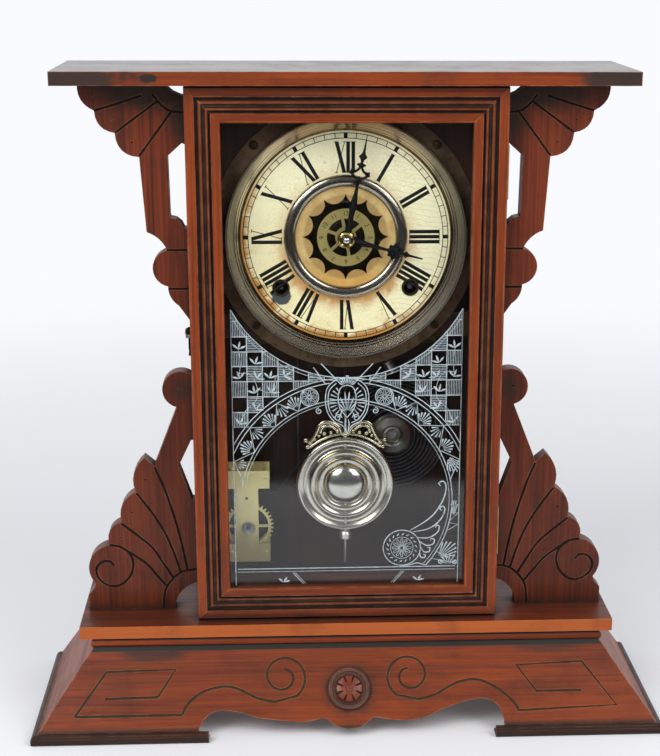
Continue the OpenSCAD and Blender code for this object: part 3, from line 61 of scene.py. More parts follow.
def pair(low_high):
    """Two corners as vectors."""
    return Vector(low_high[0]), Vector(low_high[1])


PAPER_LOW, PAPER_HIGH = pair(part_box("dial_paper"))
GLASS_HIGH = pair(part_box("door_glass"))[1]
BEAD_LOW, BEAD_HIGH = pair(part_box("bed_mouldings"))
LOWER_LOW = pair(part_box("lower_brackets"))[0]
UPPER_LOW, UPPER_HIGH = pair(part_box("upper_brackets"))
SHELF_LOW, SHELF_HIGH = pair(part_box("shelf_board"))
TOP_LOW, TOP_HIGH = pair(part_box("top_board"))
STILE_LOW, STILE_HIGH = pair(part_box("door_stiles"))
DIAL_Z = (PAPER_LOW.z + PAPER_HIGH.z) / 2


# ---- sizes and colours that a user would change ----

def vector_property(name, description, default, **settings):
    return bpy.props.FloatVectorProperty(name=name, description=description, default=default,
                                         size=len(default), **settings)


def colour_property(name, description, default):
    return vector_property(name, description, default, subtype="COLOR", min=0, max=1)


def length_property(name, description, default_mm):
    return bpy.props.FloatProperty(name=name, description=description, default=default_mm * MM,
                                   unit="LENGTH", min=0)


def power_property(name, description, default):
    return bpy.props.FloatProperty(name=name, description=description, default=default, unit="POWER")


class ClockWood(bpy.types.PropertyGroup):
    """Colours of the case's woods."""
    red_light: colour_property("Red walnut, light", "Lightest figure", (0.29, 0.050, 0.007))
    red_dark: colour_property("Red walnut, dark", "Darkest figure", (0.085, 0.014, 0.004))
    bracket_light: colour_property("Bracket, light", "Lightest figure of the brackets", (0.17, 0.031, 0.010))
    bracket_dark: colour_property("Bracket, dark", "Darkest figure of the brackets", (0.042, 0.009, 0.004))
    pine_light: colour_property("Stained pine, light", "Lightest figure inside", (0.055, 0.024, 0.013))
    pine_dark: colour_property("Stained pine, dark", "Darkest figure inside", (0.014, 0.007, 0.005))
    # colour of old polish and of painted shade where ambient occlusion finds the wood closed in; the door
    # frame's grooves take it too
    grime: colour_property("Grime", "Old polish in the hollows", (0.016, 0.011, 0.009))
    worn: colour_property("Worn wood", "Where the polish has gone from edges", (0.40, 0.17, 0.07))


class ClockDial(bpy.types.PropertyGroup):
    """The printed dial."""
    paper: colour_property("Paper", "Unstained paper of the dial", (0.86, 0.80, 0.53))
    stain: colour_property("Stain", "Browned paper at the rings", (0.44, 0.185, 0.024))
    ink: colour_property("Ink", "Printing ink", (0.012, 0.012, 0.013))
    numeral_in: length_property("Numerals from", "Inner radius of the numerals", 41.6)
    numeral_out: length_property("Numerals to", "Outer radius of the numerals", 61.0)
    track_in: length_property("Track from", "Inner radius of the minute track", 63.4)
    track_out: length_property("Track to", "Outer radius of the minute track", 66.7)
    thick: length_property("Thick stroke", "Width of a numeral's thick stroke", 2.35)
    thin: length_property("Thin stroke", "Width of a numeral's thin stroke", 0.5)


class ClockTablet(bpy.types.PropertyGroup):
    """The stencilled glass."""
    paint: colour_property("Stencil paint", "White of the stencilled lines", (0.55, 0.63, 0.67))
    line: length_property("Line", "Width of the stencil's lines", 0.68)


class ClockStage(bpy.types.PropertyGroup):
    """Camera, floor and lamps."""
    floor: colour_property("Floor", "Pale floor", (0.86, 0.87, 0.895))
    camera_at: vector_property("Camera", "Where the camera stands", (-0.04314, -1.0844, 0.50546),
                               subtype="TRANSLATION")
    camera_turn: vector_property("Camera turn", "Turn of the camera, as Euler angles",
                                 [math.radians(turn) for turn in (72.158, -0.256, -3.120)], subtype="EULER")
    focal: bpy.props.FloatProperty(name="Focal length", description="In image widths", default=2.5421)
    shift: vector_property("Shift", "Lens shift that frames the photograph", (-0.0632, 0.1629))
    key: power_property("Key lamp", "Power of the softbox on the left", 16)
    fill: power_property("Fill lamp", "Power of the softbox on the right", 11)


# ---- shader helpers: a node goes into the tree of the first socket that it is given ----

COLOUR, NUMBER, VECTOR = "NodeSocketColor", "NodeSocketFloat", "NodeSocketVector"


def is_socket(value):
    return isinstance(value, bpy.types.NodeSocket)


def feed(node, sockets):
    """Sets a node's inputs, each to a value or from another node's socket."""
    for key, value in sockets.items():
        if is_socket(value):
            node.id_data.links.new(value, node.inputs[key])
        else:
            node.inputs[key].default_value = value
    return node


def put(kind, sockets, tree=None, **settings):
    """Adds a shader node whose sockets take a value or a link."""
    if tree is None:
        tree = next(value.id_data for value in sockets.values() if is_socket(value))
    made = tree.nodes.new(kind)
    for key, value in settings.items():
        setattr(made, key, value)
    return feed(made, sockets)


def maths(operation, a, b=0.0, clamp=False):
    """Result of a math node."""
    return put("ShaderNodeMath", {0: a, 1: b}, operation=operation, use_clamp=clamp).outputs[0]


def plus(a, b, clamp=False):
    return maths("ADD", a, b, clamp)


def minus(a, b):
    return maths("SUBTRACT", a, b)


def times(a, b):
    return maths("MULTIPLY", a, b)


def larger(a, b):
    return maths("MAXIMUM", a, b)


def largest(masks):
    """The strongest of several masks."""
    return functools.reduce(larger, masks)


def ramp(value, low, high, out_low=0.0, out_high=1.0):
    """A smooth step of a value between two limits."""
    return put("ShaderNodeMapRange", {0: value, 1: low, 2: high, 3: out_low, 4: out_high},
               interpolation_type="SMOOTHSTEP").outputs[0]


def mix(share, a, b):
    """Two colours mixed by a share."""
    a, b = (colour if is_socket(colour) else rgba(colour) for colour in (a, b))
    return put("ShaderNodeMix", {0: share, 6: a, 7: b}, data_type="RGBA").outputs[2]


def rgba(colour):
    return (*colour[:3], 1.0)


def vector_maths(operation, a, b):
    return put("ShaderNodeVectorMath", {0: a, 1: b}, operation=operation).outputs[0]


def length_of(vector):
    return put("ShaderNodeVectorMath", {0: vector}, operation="LENGTH").outputs["Value"]


def noise(vector, scale, detail=3.0, rough=0.55, distortion=0.0):
    return put("ShaderNodeTexNoise", {"Vector": vector, "Scale": scale, "Detail": detail,
                                      "Roughness": rough, "Distortion": distortion}).outputs["Fac"]


def source(tree, kind, output):
    """An output of a node that needs no input."""
    return put(kind, {}, tree).outputs[output]


def place_in(tree):
    """Object coordinates."""
    return source(tree, "ShaderNodeTexCoord", "Object")


def along(vector, axis):
    """One coordinate of a vector."""
    return put("ShaderNodeSeparateXYZ", {0: vector}).outputs[axis]


def bump(height, strength, distance):
    """A normal from a height."""
    return put("ShaderNodeBump", {"Height": height, "Strength": strength, "Distance": distance}).outputs[0]


def radius_from(place, x, z):
    """Distance from an axis along Y."""
    return length_of(vector_maths("MULTIPLY", vector_maths("ADD", place, (-x, 0, -z)), (1, 0, 1)))


SPOT_RAGGED = 0.6


def spot(place, centre, reach, edge=0.5):
    """Ragged mask round a point; centre and reach along the axes are in metres."""
    away = length_of(vector_maths("DIVIDE", vector_maths("SUBTRACT", place, centre), reach))
    return ramp(plus(away, times(noise(place, 150.0, 4.0, 0.7), SPOT_RAGGED)), 1.3, 1.3 - edge)


def dark_rings(place, x, z, radii):
    """Mask of rings round an axis along Y, each (radius, half width) in mm."""
    radius = radius_from(place, x, z)
    return largest([ramp(maths("ABSOLUTE", minus(radius, middle * MM)), half * MM, half * 0.4 * MM)
                    for middle, half in radii])


# ---- node groups that several finishes share ----

def new_group(name, inputs, outputs):
    """A node group with named inputs and outputs; returns its input's sockets and its output node."""
    tree = bpy.data.node_groups.new(name, "ShaderNodeTree")
    for in_out, sockets in (("INPUT", inputs), ("OUTPUT", outputs)):
        for title, kind in sockets.items():
            tree.interface.new_socket(title, in_out=in_out, socket_type=kind)
    return tree.nodes.new("NodeGroupInput").outputs, tree.nodes.new("NodeGroupOutput")


def use_group(tree, name, sockets):
    """Places a node group in a material; returns its outputs."""
    made = tree.nodes.new("ShaderNodeGroup")
    made.node_tree = bpy.data.node_groups[name]
    return feed(made, sockets).outputs


def wood_figure_group():
    """Figure, streaks and pores of a board whose grain runs along X."""
    given, out = new_group("wood_figure", {"Vector": VECTOR, "Light": COLOUR, "Dark": COLOUR,
                                           "Contrast": NUMBER},
                           {"Color": COLOUR, "Height": NUMBER, "Roughness": NUMBER})
    broad, narrow, fine = (vector_maths("MULTIPLY", given["Vector"], stretch)
                           for stretch in ((5, 60, 60), (9, 620, 620), (90, 2300, 2300)))
    figure = noise(broad, 1.0, 4.0, 0.6, 0.8)
    streaks = noise(narrow, 1.0, 3.0, 0.65, 0.3)
    pores = ramp(noise(fine, 1.0, 2.0, 0.6), 0.60, 0.70)
    share = minus(plus(times(figure, 0.5), times(streaks, 0.5)), 0.5)
    share = ramp(times(share, given["Contrast"]), -0.24, 0.24)
    colour = mix(times(pores, 0.55), mix(share, given["Dark"], given["Light"]), given["Dark"])
    feed(out, {"Color": colour, "Height": minus(times(share, 0.3), times(pores, 0.7)),
               "Roughness": ramp(share, 0.0, 1.0, 0.52, 0.38)})


def grime_group():
    """Old polish and painted shade where ambient occlusion finds the surface closed in: in hollows, under
    overhangs and between parts; clouds on the flat faces; and edges rubbed pale.
    """
    given, out = new_group("grime", {"Color": COLOUR, "Dirt_and_shade": COLOUR, "Worn": COLOUR, "Hollows": NUMBER,
                                     "Clouds": NUMBER, "Wear": NUMBER}, {"Color": COLOUR, "Mask": NUMBER})
    tree = out.id_data
    place = place_in(tree)
    # ambient occlusion darkens closed-in places: painted shade, together with old polish
    open_sky = put("ShaderNodeAmbientOcclusion", {"Distance": 0.010}, tree, samples=6).outputs["AO"]
    patches = noise(place, 26.0, 5.0, 0.65)
    hollow = ramp(plus(open_sky, times(patches, 0.2)), 0.98, 0.55)
    mask = plus(times(hollow, given["Hollows"]), times(ramp(patches, 0.45, 0.75), given["Clouds"]), clamp=True)
    rounded = put("ShaderNodeBevel", {"Radius": 0.001}, tree, samples=4).outputs[0]
    flat = source(tree, "ShaderNodeNewGeometry", "Normal")
    bend = put("ShaderNodeVectorMath", {0: rounded, 1: flat}, operation="DOT_PRODUCT").outputs["Value"]
    rub = times(times(ramp(bend, 0.985, 0.90), ramp(open_sky, 0.55, 0.8)),
                ramp(noise(place, 90.0, 4.0, 0.7), 0.38, 0.62))
    dirty_and_shaded = mix(mask, given["Color"], given["Dirt_and_shade"])
    feed(out, {"Color": mix(times(rub, given["Wear"]), dirty_and_shaded, given["Worn"]), "Mask": mask})


def tarnish_group():
    """Spots and clouds on metal."""
    given, out = new_group("tarnish", {"Clean": COLOUR, "Tarnished": COLOUR, "Scale": NUMBER, "Amount": NUMBER},
                           {"Color": COLOUR, "Mask": NUMBER, "Height": NUMBER})
    place = place_in(out.id_data)
    broad = ramp(noise(place, given["Scale"], 5.0, 0.65, 0.4), 0.35, 0.75)
    spots = ramp(noise(place, times(given["Scale"], 7.0), 2.0), 0.62, 0.72)
    mask = times(plus(broad, times(spots, 0.5), clamp=True), given["Amount"])
    feed(out, {"Color": mix(mask, given["Clean"], given["Tarnished"]), "Mask": mask,
               "Height": noise(place, times(given["Scale"], 18.0), 2.0)})


# ---- finishes ----

POLISHED_GRIT = 0.008
# rings as (radius, half width) in mm: painted shade lines at the steps of the turned bezel round the dial's
# middle, and golden-brown rings in the bob's turning
BEZEL_SHADE_RINGS = [(69.0, 1.5), (70.9, 0.35), (72.4, 0.3), (76.9, 0.25)]
BOB_RINGS = [(18.8, 0.7), (23.8, 0.8), (14.2, 0.6), (28.6, 0.5)]
BEHIND_DIAL_Z = 0.20
GRAIN_TURN = {"X": (0, 0, 0), "Y": (0, 0, math.pi / 2), "Z": (0, math.pi / 2, 0)}


def new_material(name):
    """A material; returns it, its shader and its tree."""
    material = bpy.data.materials.new(name)
    material.use_nodes = True
    return material, material.node_tree.nodes["Principled BSDF"], material.node_tree


def wood(name, tones, grain, contrast=1.0, clouds=0.35, coat=0.12, wear_and_shade=None):
    """Polished wood of a light and a dark tone; wear_and_shade(place, colour) may repaint parts of it, with
    stains, old polish, worn places and painted shade; ambient occlusion adds painted shade and old polish in
    closed-in places.
    """
    props = bpy.context.scene.clock_wood
    material, shader, tree = new_material(name)
    place = place_in(tree)
    turned = put("ShaderNodeMapping", {"Vector": place, "Rotation": GRAIN_TURN[grain]}).outputs[0]
    figure = use_group(tree, "wood_figure", {"Vector": turned, "Light": rgba(tones[0]), "Dark": rgba(tones[1]),
                                             "Contrast": contrast})
    colour = wear_and_shade(place, figure["Color"]) if wear_and_shade else figure["Color"]
    dirty_and_shaded = use_group(tree, "grime", {"Color": colour, "Dirt_and_shade": rgba(props.grime), "Worn": rgba(props.worn),
                                      "Hollows": 0.85, "Clouds": clouds, "Wear": 0.7})
    feed(shader, {"Base Color": dirty_and_shaded["Color"], "Coat Weight": coat, "Coat Roughness": 0.22,
                  "Roughness": plus(figure["Roughness"], times(dirty_and_shaded["Mask"], 0.25), clamp=True),
                  "Normal": bump(figure["Height"], 0.25, 0.0004), "Specular IOR Level": 0.2})
    return material


def metal(name, clean, tarnished, amount=0.5, scale=120.0, rough=0.28, rough_dirty=0.55, grit=0.06,
          metallic=1.0):
    """Metal with tarnish and a gritty face."""
    material, shader, tree = new_material(name)
    dull = use_group(tree, "tarnish", {"Clean": rgba(clean), "Tarnished": rgba(tarnished), "Scale": scale,
                                       "Amount": amount})
    feed(shader, {"Base Color": dull["Color"], "Metallic": metallic,
                  "Roughness": ramp(dull["Mask"], 0.0, 1.0, rough, rough_dirty),
                  "Normal": bump(dull["Height"], grit, 0.00005)})
    return material


def plain_material(name, colour, rough):
    """Paint, ink or patina with a slightly uneven face."""
    material, shader, tree = new_material(name)
    cloud = noise(place_in(tree), 500.0, 4.0, 0.6)
    feed(shader, {"Base Color": mix(ramp(cloud, 0.3, 0.8), colour, [c * 0.6 for c in colour]),
                  "Roughness": rough, "Specular IOR Level": 0.12, "Normal": bump(cloud, 0.15, 0.0002)})
    return material


def repaint(material, shade, mask_at):
    """Blends a material's colour towards a shade where mask_at(object coordinates) is 1."""
    shader = material.node_tree.nodes["Principled BSDF"]
    clean = shader.inputs["Base Color"].links[0].from_socket
    feed(shader, {"Base Color": mix(mask_at(place_in(material.node_tree)), clean, shade)})
    return material


def darkened_above(material, height, shade, share=0.92, soft=0.01):
    """Paints shade onto a metal above a height, where the part sits in shade, as behind the dial and at the top
    of the bezel.
    """
    return repaint(material, shade, lambda place: ramp(along(place, "Z"), height, height + soft, 0.0, share))


def rosette_size():
    """Middle and radius of the turned rosette."""
    low, high = pair(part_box("base_rosette"))
    return (low + high) / 2, (high.x - low.x) / 2


def base_wear(place, colour):
    """Painted shade in a band just under the bead; black polish round the rosette; darker towards the bottom
    above the feet, and dark patches just below the bead's two ends.
    """
    height = along(place, "Z")
    middle, reach = rosette_size()
    # the first mask is painted shade under the bead; the second darkens towards the bottom
    masks = [ramp(height, BEAD_LOW.z - 3.4 * MM, BEAD_LOW.z - 2.6 * MM),
             ramp(height, 9.5 * MM, 7.5 * MM, 0.0, 0.75)]
    for centre, size, share in ((middle, (reach * 1.5, 1, reach * 1.35), 0.85),
                                ((-0.132, 0, BEAD_LOW.z - 0.004), (0.03, 1, 0.007), 0.7),
                                ((0.135, 0, BEAD_LOW.z - 0.003), (0.03, 1, 0.006), 0.6)):
        masks.append(times(spot(place, centre, size, 0.6), share))
    return mix(largest(masks), colour, (0.022, 0.021, 0.017))


def rosette_wear(place, colour):
    """Black polish on the ring, and red wood on the petals."""
    middle, reach = rosette_size()
    away = vector_maths("SUBTRACT", place, (middle.x, 0, middle.z + 1.4 * MM))
    away = length_of(vector_maths("MULTIPLY", away, (1 / reach, 0, 1.2 / reach)))
    ring = mix(0.75, colour, (0.045, 0.037, 0.031))
    return mix(ramp(away, 0.72, 0.66), ring, mix(0.6, colour, (0.17, 0.034, 0.017)))


def bead_wear(place, colour):
    """Painted shadow lines on the bead: above it, under the shelf's edge, and below it, in the crack by the
    base board.
    """
    height = along(place, "Z")
    # painted shadows: under the shelf above, and in the crack below
    above = ramp(height, BEAD_HIGH.z - 2.2 * MM, BEAD_HIGH.z - 1.4 * MM)
    below = ramp(height, BEAD_LOW.z + 1.2 * MM, BEAD_LOW.z + 0.5 * MM)
    return mix(larger(above, below), colour, (0.020, 0.014, 0.010))


def bracket_wear(place, colour):
    """Painted shade under the top board and beside the case, and darker knobs."""
    level = UPPER_HIGH.z
    # painted shade under the top board and beside the case; the last spots darken the knobs
    shade_and_knobs = largest([times(spot(place, (side * x, 0, z), reach, 0.7), share)
                    for x, z, reach, share in ((0.122, level - 0.004, (0.056, 1, 0.019), 0.9),
                                               (0.103, level - 0.02, (0.016, 1, 0.026), 0.8),
                                               (0.108, 0.225, (0.012, 1, 0.012), 0.6)) for side in (-1, 1)])
    return mix(shade_and_knobs, colour, (0.028, 0.022, 0.017))


def top_wear(place, colour):
    """Grey upper face, partly dusty and partly a painted sheen; dark, handled ends and small dents."""
    across = along(place, "X")
    up = along(source(place.id_data, "ShaderNodeNewGeometry", "Normal"), "Z")
    cloud = noise(place, 40.0, 5.0, 0.7)
    # grey on faces that look up: a dusty film, and a painted sheen of the pale room that the top reflects
    dust_and_sheen = times(ramp(up, 0.6, 0.95), ramp(cloud, 0.3, 0.6, 0.75, 1.0))
    colour = mix(dust_and_sheen, colour, (0.34, 0.325, 0.32))
    ends = ramp(plus(maths("ABSOLUTE", across), times(cloud, 0.03)), 0.152, 0.166, 0.0, 0.9)
    left = times(ramp(across, -0.118, -0.135, 0.0, 0.8), ramp(cloud, 0.42, 0.58))
    ends = times(larger(ends, left), ramp(up, 0.9, 0.5))
    marks = [spot(place, (-0.1216, TOP_LOW.y, TOP_LOW.z + 0.0045), (0.0068, 1, 0.0034), 0.4)]
    marks += [times(spot(place, (x, y, TOP_HIGH.z), (0.0022, 0.0045, 0.002), 0.3), 0.8)
              for x, y in ((-0.085, -0.058), (-0.080, -0.056), (0.083, -0.058), (0.086, -0.056))]
    colour = mix(largest(marks), colour, (0.030, 0.020, 0.016))
    return mix(ends, colour, (0.030, 0.025, 0.021))


def shelf_wear(place, colour):
    """Front edge sanded back to orange wood, and painted shade that darkens the upper face under the clock."""
    front = ramp(along(place, "Y"), SHELF_LOW.y + 0.6 * MM, SHELF_LOW.y + 0.1 * MM)
    # painted shade on the upper face, which lies under the clock
    upper = ramp(along(place, "Z"), SHELF_HIGH.z - 0.5 * MM, SHELF_HIGH.z - 0.1 * MM, 0.0, 0.45)
    return mix(front, mix(upper, colour, (0.020, 0.015, 0.014)), mix(0.6, colour, (0.52, 0.125, 0.022)))


def door_wear(place, colour):
    """Old black polish in the door frame's grooves."""
    middle = (STILE_LOW.z + STILE_HIGH.z) / 2
    from_side = minus(STILE_HIGH.x, maths("ABSOLUTE", along(place, "X")))
    from_end = minus(STILE_HIGH.z - middle, maths("ABSOLUTE", minus(along(place, "Z"), middle)))
    inwards = maths("MINIMUM", from_side, from_end)
    band = times(ramp(inwards, 5.6 * MM, 6.2 * MM), ramp(inwards, 17.2 * MM, 16.4 * MM))
    deep = ramp(along(place, "Y"), STILE_LOW.y + 0.3 * MM, STILE_LOW.y + 1.5 * MM, 0.12, 0.95)
    return mix(times(band, deep), colour, bpy.context.scene.clock_wood.grime)


def dial_paper_material():
    """Printed paper, crazed and browned round the rings and at the foot."""
    props = bpy.context.scene.clock_dial
    material, shader, tree = new_material("dial_paper")
    place = place_in(tree)
    across, down = along(place, "X"), minus(DIAL_Z, along(place, "Z"))
    aslant = plus(times(across, -0.6), times(down, 0.8))
    radius = radius_from(place, 0, DIAL_Z)
    cloud = noise(place, 60.0, 6.0, 0.7, 0.6)
    fine = noise(place, 900.0, 3.0, 0.6)
    ragged = plus(radius, times(minus(cloud, 0.5), 0.022))

    age = times(ramp(aslant, -0.02, 0.06), ramp(cloud, 0.3, 0.6, 0.4, 1.0))
    colour = mix(times(age, 0.55), props.paper, (0.76, 0.60, 0.26))
    rim = times(ramp(ragged, 0.0615, 0.0675), ramp(aslant, -0.03, 0.045, 0.15, 1.0))
    near_ring = times(ramp(ragged, 0.050, 0.041), ramp(down, -0.02, 0.04, 0.25, 0.9))
    colour = mix(larger(rim, near_ring), colour, props.stain)

    tan = mix(ramp(cloud, 0.35, 0.65), (0.60, 0.42, 0.17), (0.44, 0.28, 0.09))
    tan = mix(ramp(down, 0.012, 0.034, 0.0, 0.7), tan, (0.60, 0.29, 0.035))
    tan = mix(ramp(radius, 0.0285, 0.0262, 0.0, 0.6), tan, (0.25, 0.13, 0.03))
    colour = mix(ramp(radius, 0.0400, 0.0385), colour, tan)

    cells = put("ShaderNodeTexVoronoi", {"Vector": place, "Scale": 420.0}, feature="DISTANCE_TO_EDGE")
    craze = times(ramp(cells.outputs[0], 0.05, 0.0), ramp(cloud, 0.38, 0.58))
    waves = put("ShaderNodeTexWave", {"Vector": place, "Scale": 95.0, "Distortion": 9.0, "Detail": 3.0,
                                      "Detail Scale": 0.6}, wave_type="RINGS", rings_direction="Y")
    scuffs = times(ramp(waves.outputs["Fac"], 0.93, 1.0), ramp(across, 0.005, 0.04))
    chip = spot(place, (-0.0424, 0, DIAL_Z - 0.0388), (0.0072, 1, 0.0062), 0.15)
    for mask, share, shade in ((ramp(fine, 0.60, 0.74), 0.35, props.stain), (scuffs, 0.35, (0.36, 0.30, 0.18)),
                               (craze, 0.45, (0.25, 0.17, 0.08)), (chip, 1.0, (0.055, 0.060, 0.065))):
        colour = mix(times(mask, share), colour, shade)
    feed(shader, {"Base Color": colour, "Roughness": 0.6, "Normal": bump(plus(cloud, fine), 0.1, 0.0002)})
    return material


def show_instead(material, shader_socket):
    """Puts another shader on a material's surface."""
    feed(material.node_tree.nodes["Material Output"], {"Surface": shader_socket})


def glass_material():
    """Old window glass: clear and shiny; light from the lamps passes straight through."""
    material, shader, tree = new_material("window_glass")
    feed(shader, {"Base Color": (0.97, 0.99, 0.98, 1), "Transmission Weight": 1.0, "Roughness": 0.01,
                  "IOR": 1.4, "Normal": bump(noise(place_in(tree), 9.0, 2.0), 0.05, 0.002)})
    clear = put("ShaderNodeBsdfTransparent", {"Color": (0.98, 0.99, 0.985, 1)}, tree).outputs[0]
    rays = put("ShaderNodeLightPath", {}, tree).outputs
    lighting = larger(rays["Is Shadow Ray"], rays["Is Diffuse Ray"])
    show_instead(material, put("ShaderNodeMixShader", {0: lighting, 1: shader.outputs[0], 2: clear}).outputs[0])
    return material


def stencil_paint(colour):
    """Chalky white paint, a little see-through where it is thin."""
    material, shader, tree = new_material("stencil_paint")
    cloud = noise(place_in(tree), 350.0, 4.0, 0.7)
    feed(shader, {"Base Color": mix(ramp(cloud, 0.25, 0.65), [c * 0.62 for c in colour], colour),
                  "Alpha": ramp(cloud, 0.22, 0.5, 0.55, 1.0), "Roughness": 0.7})
    return material


def tinted(tones, *shares):
    """Wood tones with red, green and blue scaled."""
    return [[c * share for c, share in zip(tone, shares)] for tone in tones]


def dress(material, *nodes):
    """Gives CAD nodes a material."""
    for name in nodes:
        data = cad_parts[name].data
        data.materials.clear()
        data.materials.append(material)


class CLOCK_OT_finishes(bpy.types.Operator):
    """Build every finish and give the CAD pieces theirs"""
    bl_idname = "clock.finishes"
    bl_label = "Finishes"

    def execute(self, context):
        wood_figure_group()
        grime_group()
        tarnish_group()
        self.woods(context.scene.clock_wood)
        self.metals()
        self.dial()
        return {"FINISHED"}

    @staticmethod
    def woods(props):
        red = (props.red_light, props.red_dark)
        carved = (props.bracket_light, props.bracket_dark)
        pine = (props.pine_light, props.pine_dark)
        foot = ((0.062, 0.019, 0.009), (0.012, 0.006, 0.005))
        dress(wood("walnut_top", red, "X", wear_and_shade=top_wear), "top_board")
        dress(wood("walnut_shelf", red, "X", wear_and_shade=shelf_wear), "shelf_board")
        dress(wood("walnut_bead", tinted(red, 0.95, 0.82, 0.6), "X", wear_and_shade=bead_wear), "bed_mouldings")
        dress(wood("walnut_base", red, "X", contrast=0.8, wear_and_shade=base_wear), "base_front_board")
        dress(wood("walnut_rosette", red, "X", contrast=0.5, coat=0.7, wear_and_shade=rosette_wear), "base_rosette")
        dress(wood("walnut_flank", red, "Y"), "base_flanks")
        dress(wood("walnut_upright", red, "Z"), "case_sides")
        dress(wood("walnut_stile", red, "Z", wear_and_shade=door_wear), "door_stiles")
        dress(wood("walnut_rail", tinted(red, 0.88, 0.85, 0.65), "X", wear_and_shade=door_wear), "door_rails")
        dress(wood("walnut_foot", foot, "X", clouds=0.7), "foot_mouldings")
        dress(wood("walnut_bracket", carved, "Z", wear_and_shade=bracket_wear), "lower_brackets")
        dress(wood("walnut_dark_bracket", tinted(carved, 1.35, 1.35, 1.35), "Z", wear_and_shade=bracket_wear),
              "upper_brackets")
        dress(wood("stained_pine", pine, "Z"), "back_board", "mounting_blocks", "glass_beads", "corner_blocks")

    @staticmethod
    def metals():
        brass = ((0.72, 0.52, 0.22), (0.28, 0.17, 0.06), 0.45)
        dress(metal("aged_brass", *brass), "hinge_case_leaves", "hinge_door_leaves", "plate_pillars",
              "time_great_wheel", "time_second_wheel", "time_third_wheel", "escape_wheel", "strike_great_wheel",
              "strike_second_wheel", "strike_fly", "suspension_post")
        # painted shade: brass made near black for the plates and wheels that sit in the dark behind the dial
        dress(metal("brass_in_painted_shade", (0.10, 0.075, 0.035), (0.03, 0.02, 0.012), 0.6, 120.0, 0.45, 0.7),
              "movement_front_plate", "movement_back_plate", "centre_wheel", "hour_wheel", "minute_wheel")
        # painted shade: screws and the rod turn dark above BEHIND_DIAL_Z, where they sit in the dark behind the
        # dial
        dress(darkened_above(metal("screw_brass", *brass), BEHIND_DIAL_Z, (0.02, 0.012, 0.008)), "brass_screws")
        rod = metal("rod_steel", (0.62, 0.62, 0.62), (0.3, 0.28, 0.25), 0.5)
        dress(darkened_above(rod, BEHIND_DIAL_Z, (0.012, 0.010, 0.009)), "pendulum_rod")
        dress(metal("black_brass", (0.10, 0.075, 0.045), (0.02, 0.015, 0.012), 0.6, 200.0, 0.4, 0.7),
              "winding_grommets")
        dress(metal("dull_steel", (0.42, 0.43, 0.45), (0.16, 0.13, 0.11), 0.5, 200.0, 0.3, 0.6),
              "latch_pin", "hinge_pins", "time_winding_arbor", "strike_winding_arbor", "alarm_winding_arbor",
              "strike_hammer", "verge")
        dress(metal("blued_steel", (0.10, 0.10, 0.11), (0.04, 0.035, 0.03), 0.5, 200.0, 0.35, 0.6),
              "gong_coil", "mainsprings", "trip_wire", "alarm_hammer")
        dress(metal("tarnished_tin", (0.30, 0.19, 0.12), (0.06, 0.035, 0.022), 0.7, 60.0, 0.4, 0.6), "dial_pan")
        dress(metal("bright_brass", (0.98, 0.88, 0.46), (0.72, 0.58, 0.24), 0.3, 140.0, 0.38, 0.55,
                    metallic=0.7), "alarm_frame", "alarm_wheel")
        dress(metal("gong_iron", (0.34, 0.33, 0.30), (0.16, 0.14, 0.11), 0.4, 80.0, 0.32, 0.5), "gong_base")
        dress(metal("nickel", (0.78, 0.76, 0.70), (0.46, 0.42, 0.34), 0.35, 80.0, 0.3, 0.45), "pendulum_bob",
              "rating_nut")
        dress(plain_material("black_hands", (0.006, 0.006, 0.007), 0.5), "hour_hand", "minute_hand",
              "latch_hook")

    @staticmethod
    def dial():
        dress(dial_paper_material(), "dial_paper")
        dress(glass_material(), "door_glass")
        dress(metal("disc_brass", (0.62, 0.51, 0.19), (0.40, 0.29, 0.09), 0.5, 140.0, 0.34, 0.5,
                    metallic=0.7), "alarm_disc")
        nut = metal("nut_steel", (0.80, 0.80, 0.80), (0.5, 0.48, 0.44), 0.3, 300.0, 0.12, 0.3)
        repaint(nut, (0.62, 0.45, 0.16),
                lambda place: ramp(radius_from(place, 0, DIAL_Z), 2.7 * MM, 2.9 * MM))
        dress(nut, "hand_nut")
        rings = metal("worn_nickel_brass", (0.82, 0.78, 0.69), (0.60, 0.49, 0.32), 0.45, 26.0, 0.18, 0.34,
                      POLISHED_GRIT)
        # painted shade lines at the steps of the turned bezel
        repaint(rings, (0.10, 0.06, 0.03), lambda place: dark_rings(place, 0, DIAL_Z, BEZEL_SHADE_RINGS))
        repaint(rings, (0.34, 0.30, 0.25),
                lambda place: ramp(radius_from(place, 0, DIAL_Z), 43 * MM, 42 * MM, 0.0, 0.8))
        # painted shade on the top of the bezel, whose slope faces down, away from the lamps
        dress(darkened_above(rings, DIAL_Z + 0.045, (0.34, 0.20, 0.10), 0.8, 0.03), "dial_rings")


# ---- drawing and carving helpers ----

FACE_ON = Matrix.Rotation(math.pi / 2, 4, "X")
MERGE = 1e-6
PRINT_DEPTH = 0.04 * MM
CARVING_SMOOTH_DEG = 24
BOB_SMOOTH_DEG = 50


def only(*pieces):
    """Selects these pieces alone; the first becomes the active one."""
    bpy.ops.object.select_all(action="DESELECT")
    for piece in pieces:
        piece.select_set(True)
    bpy.context.view_layer.objects.active = pieces[0] if pieces else None


def joined(name, pieces):
    """Several pieces as one mesh."""
    only(*pieces)
    bpy.ops.object.join()
    pieces[0].name = name
    return pieces[0]


def add_object(name, data):
    made = bpy.data.objects.new(name, data)
    bpy.context.scene.collection.objects.link(made)
    return made


def coat_with(piece, material):
    piece.data.materials.clear()
    piece.data.materials.append(material)


def finish_piece(piece, body, material=None, smooth_deg=None):
    """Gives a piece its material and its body."""
    if material:
        coat_with(piece, material)
    if smooth_deg:
        only(piece)
        bpy.ops.object.shade_smooth_by_angle(angle=math.radians(smooth_deg))
    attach(piece, body)
    return piece


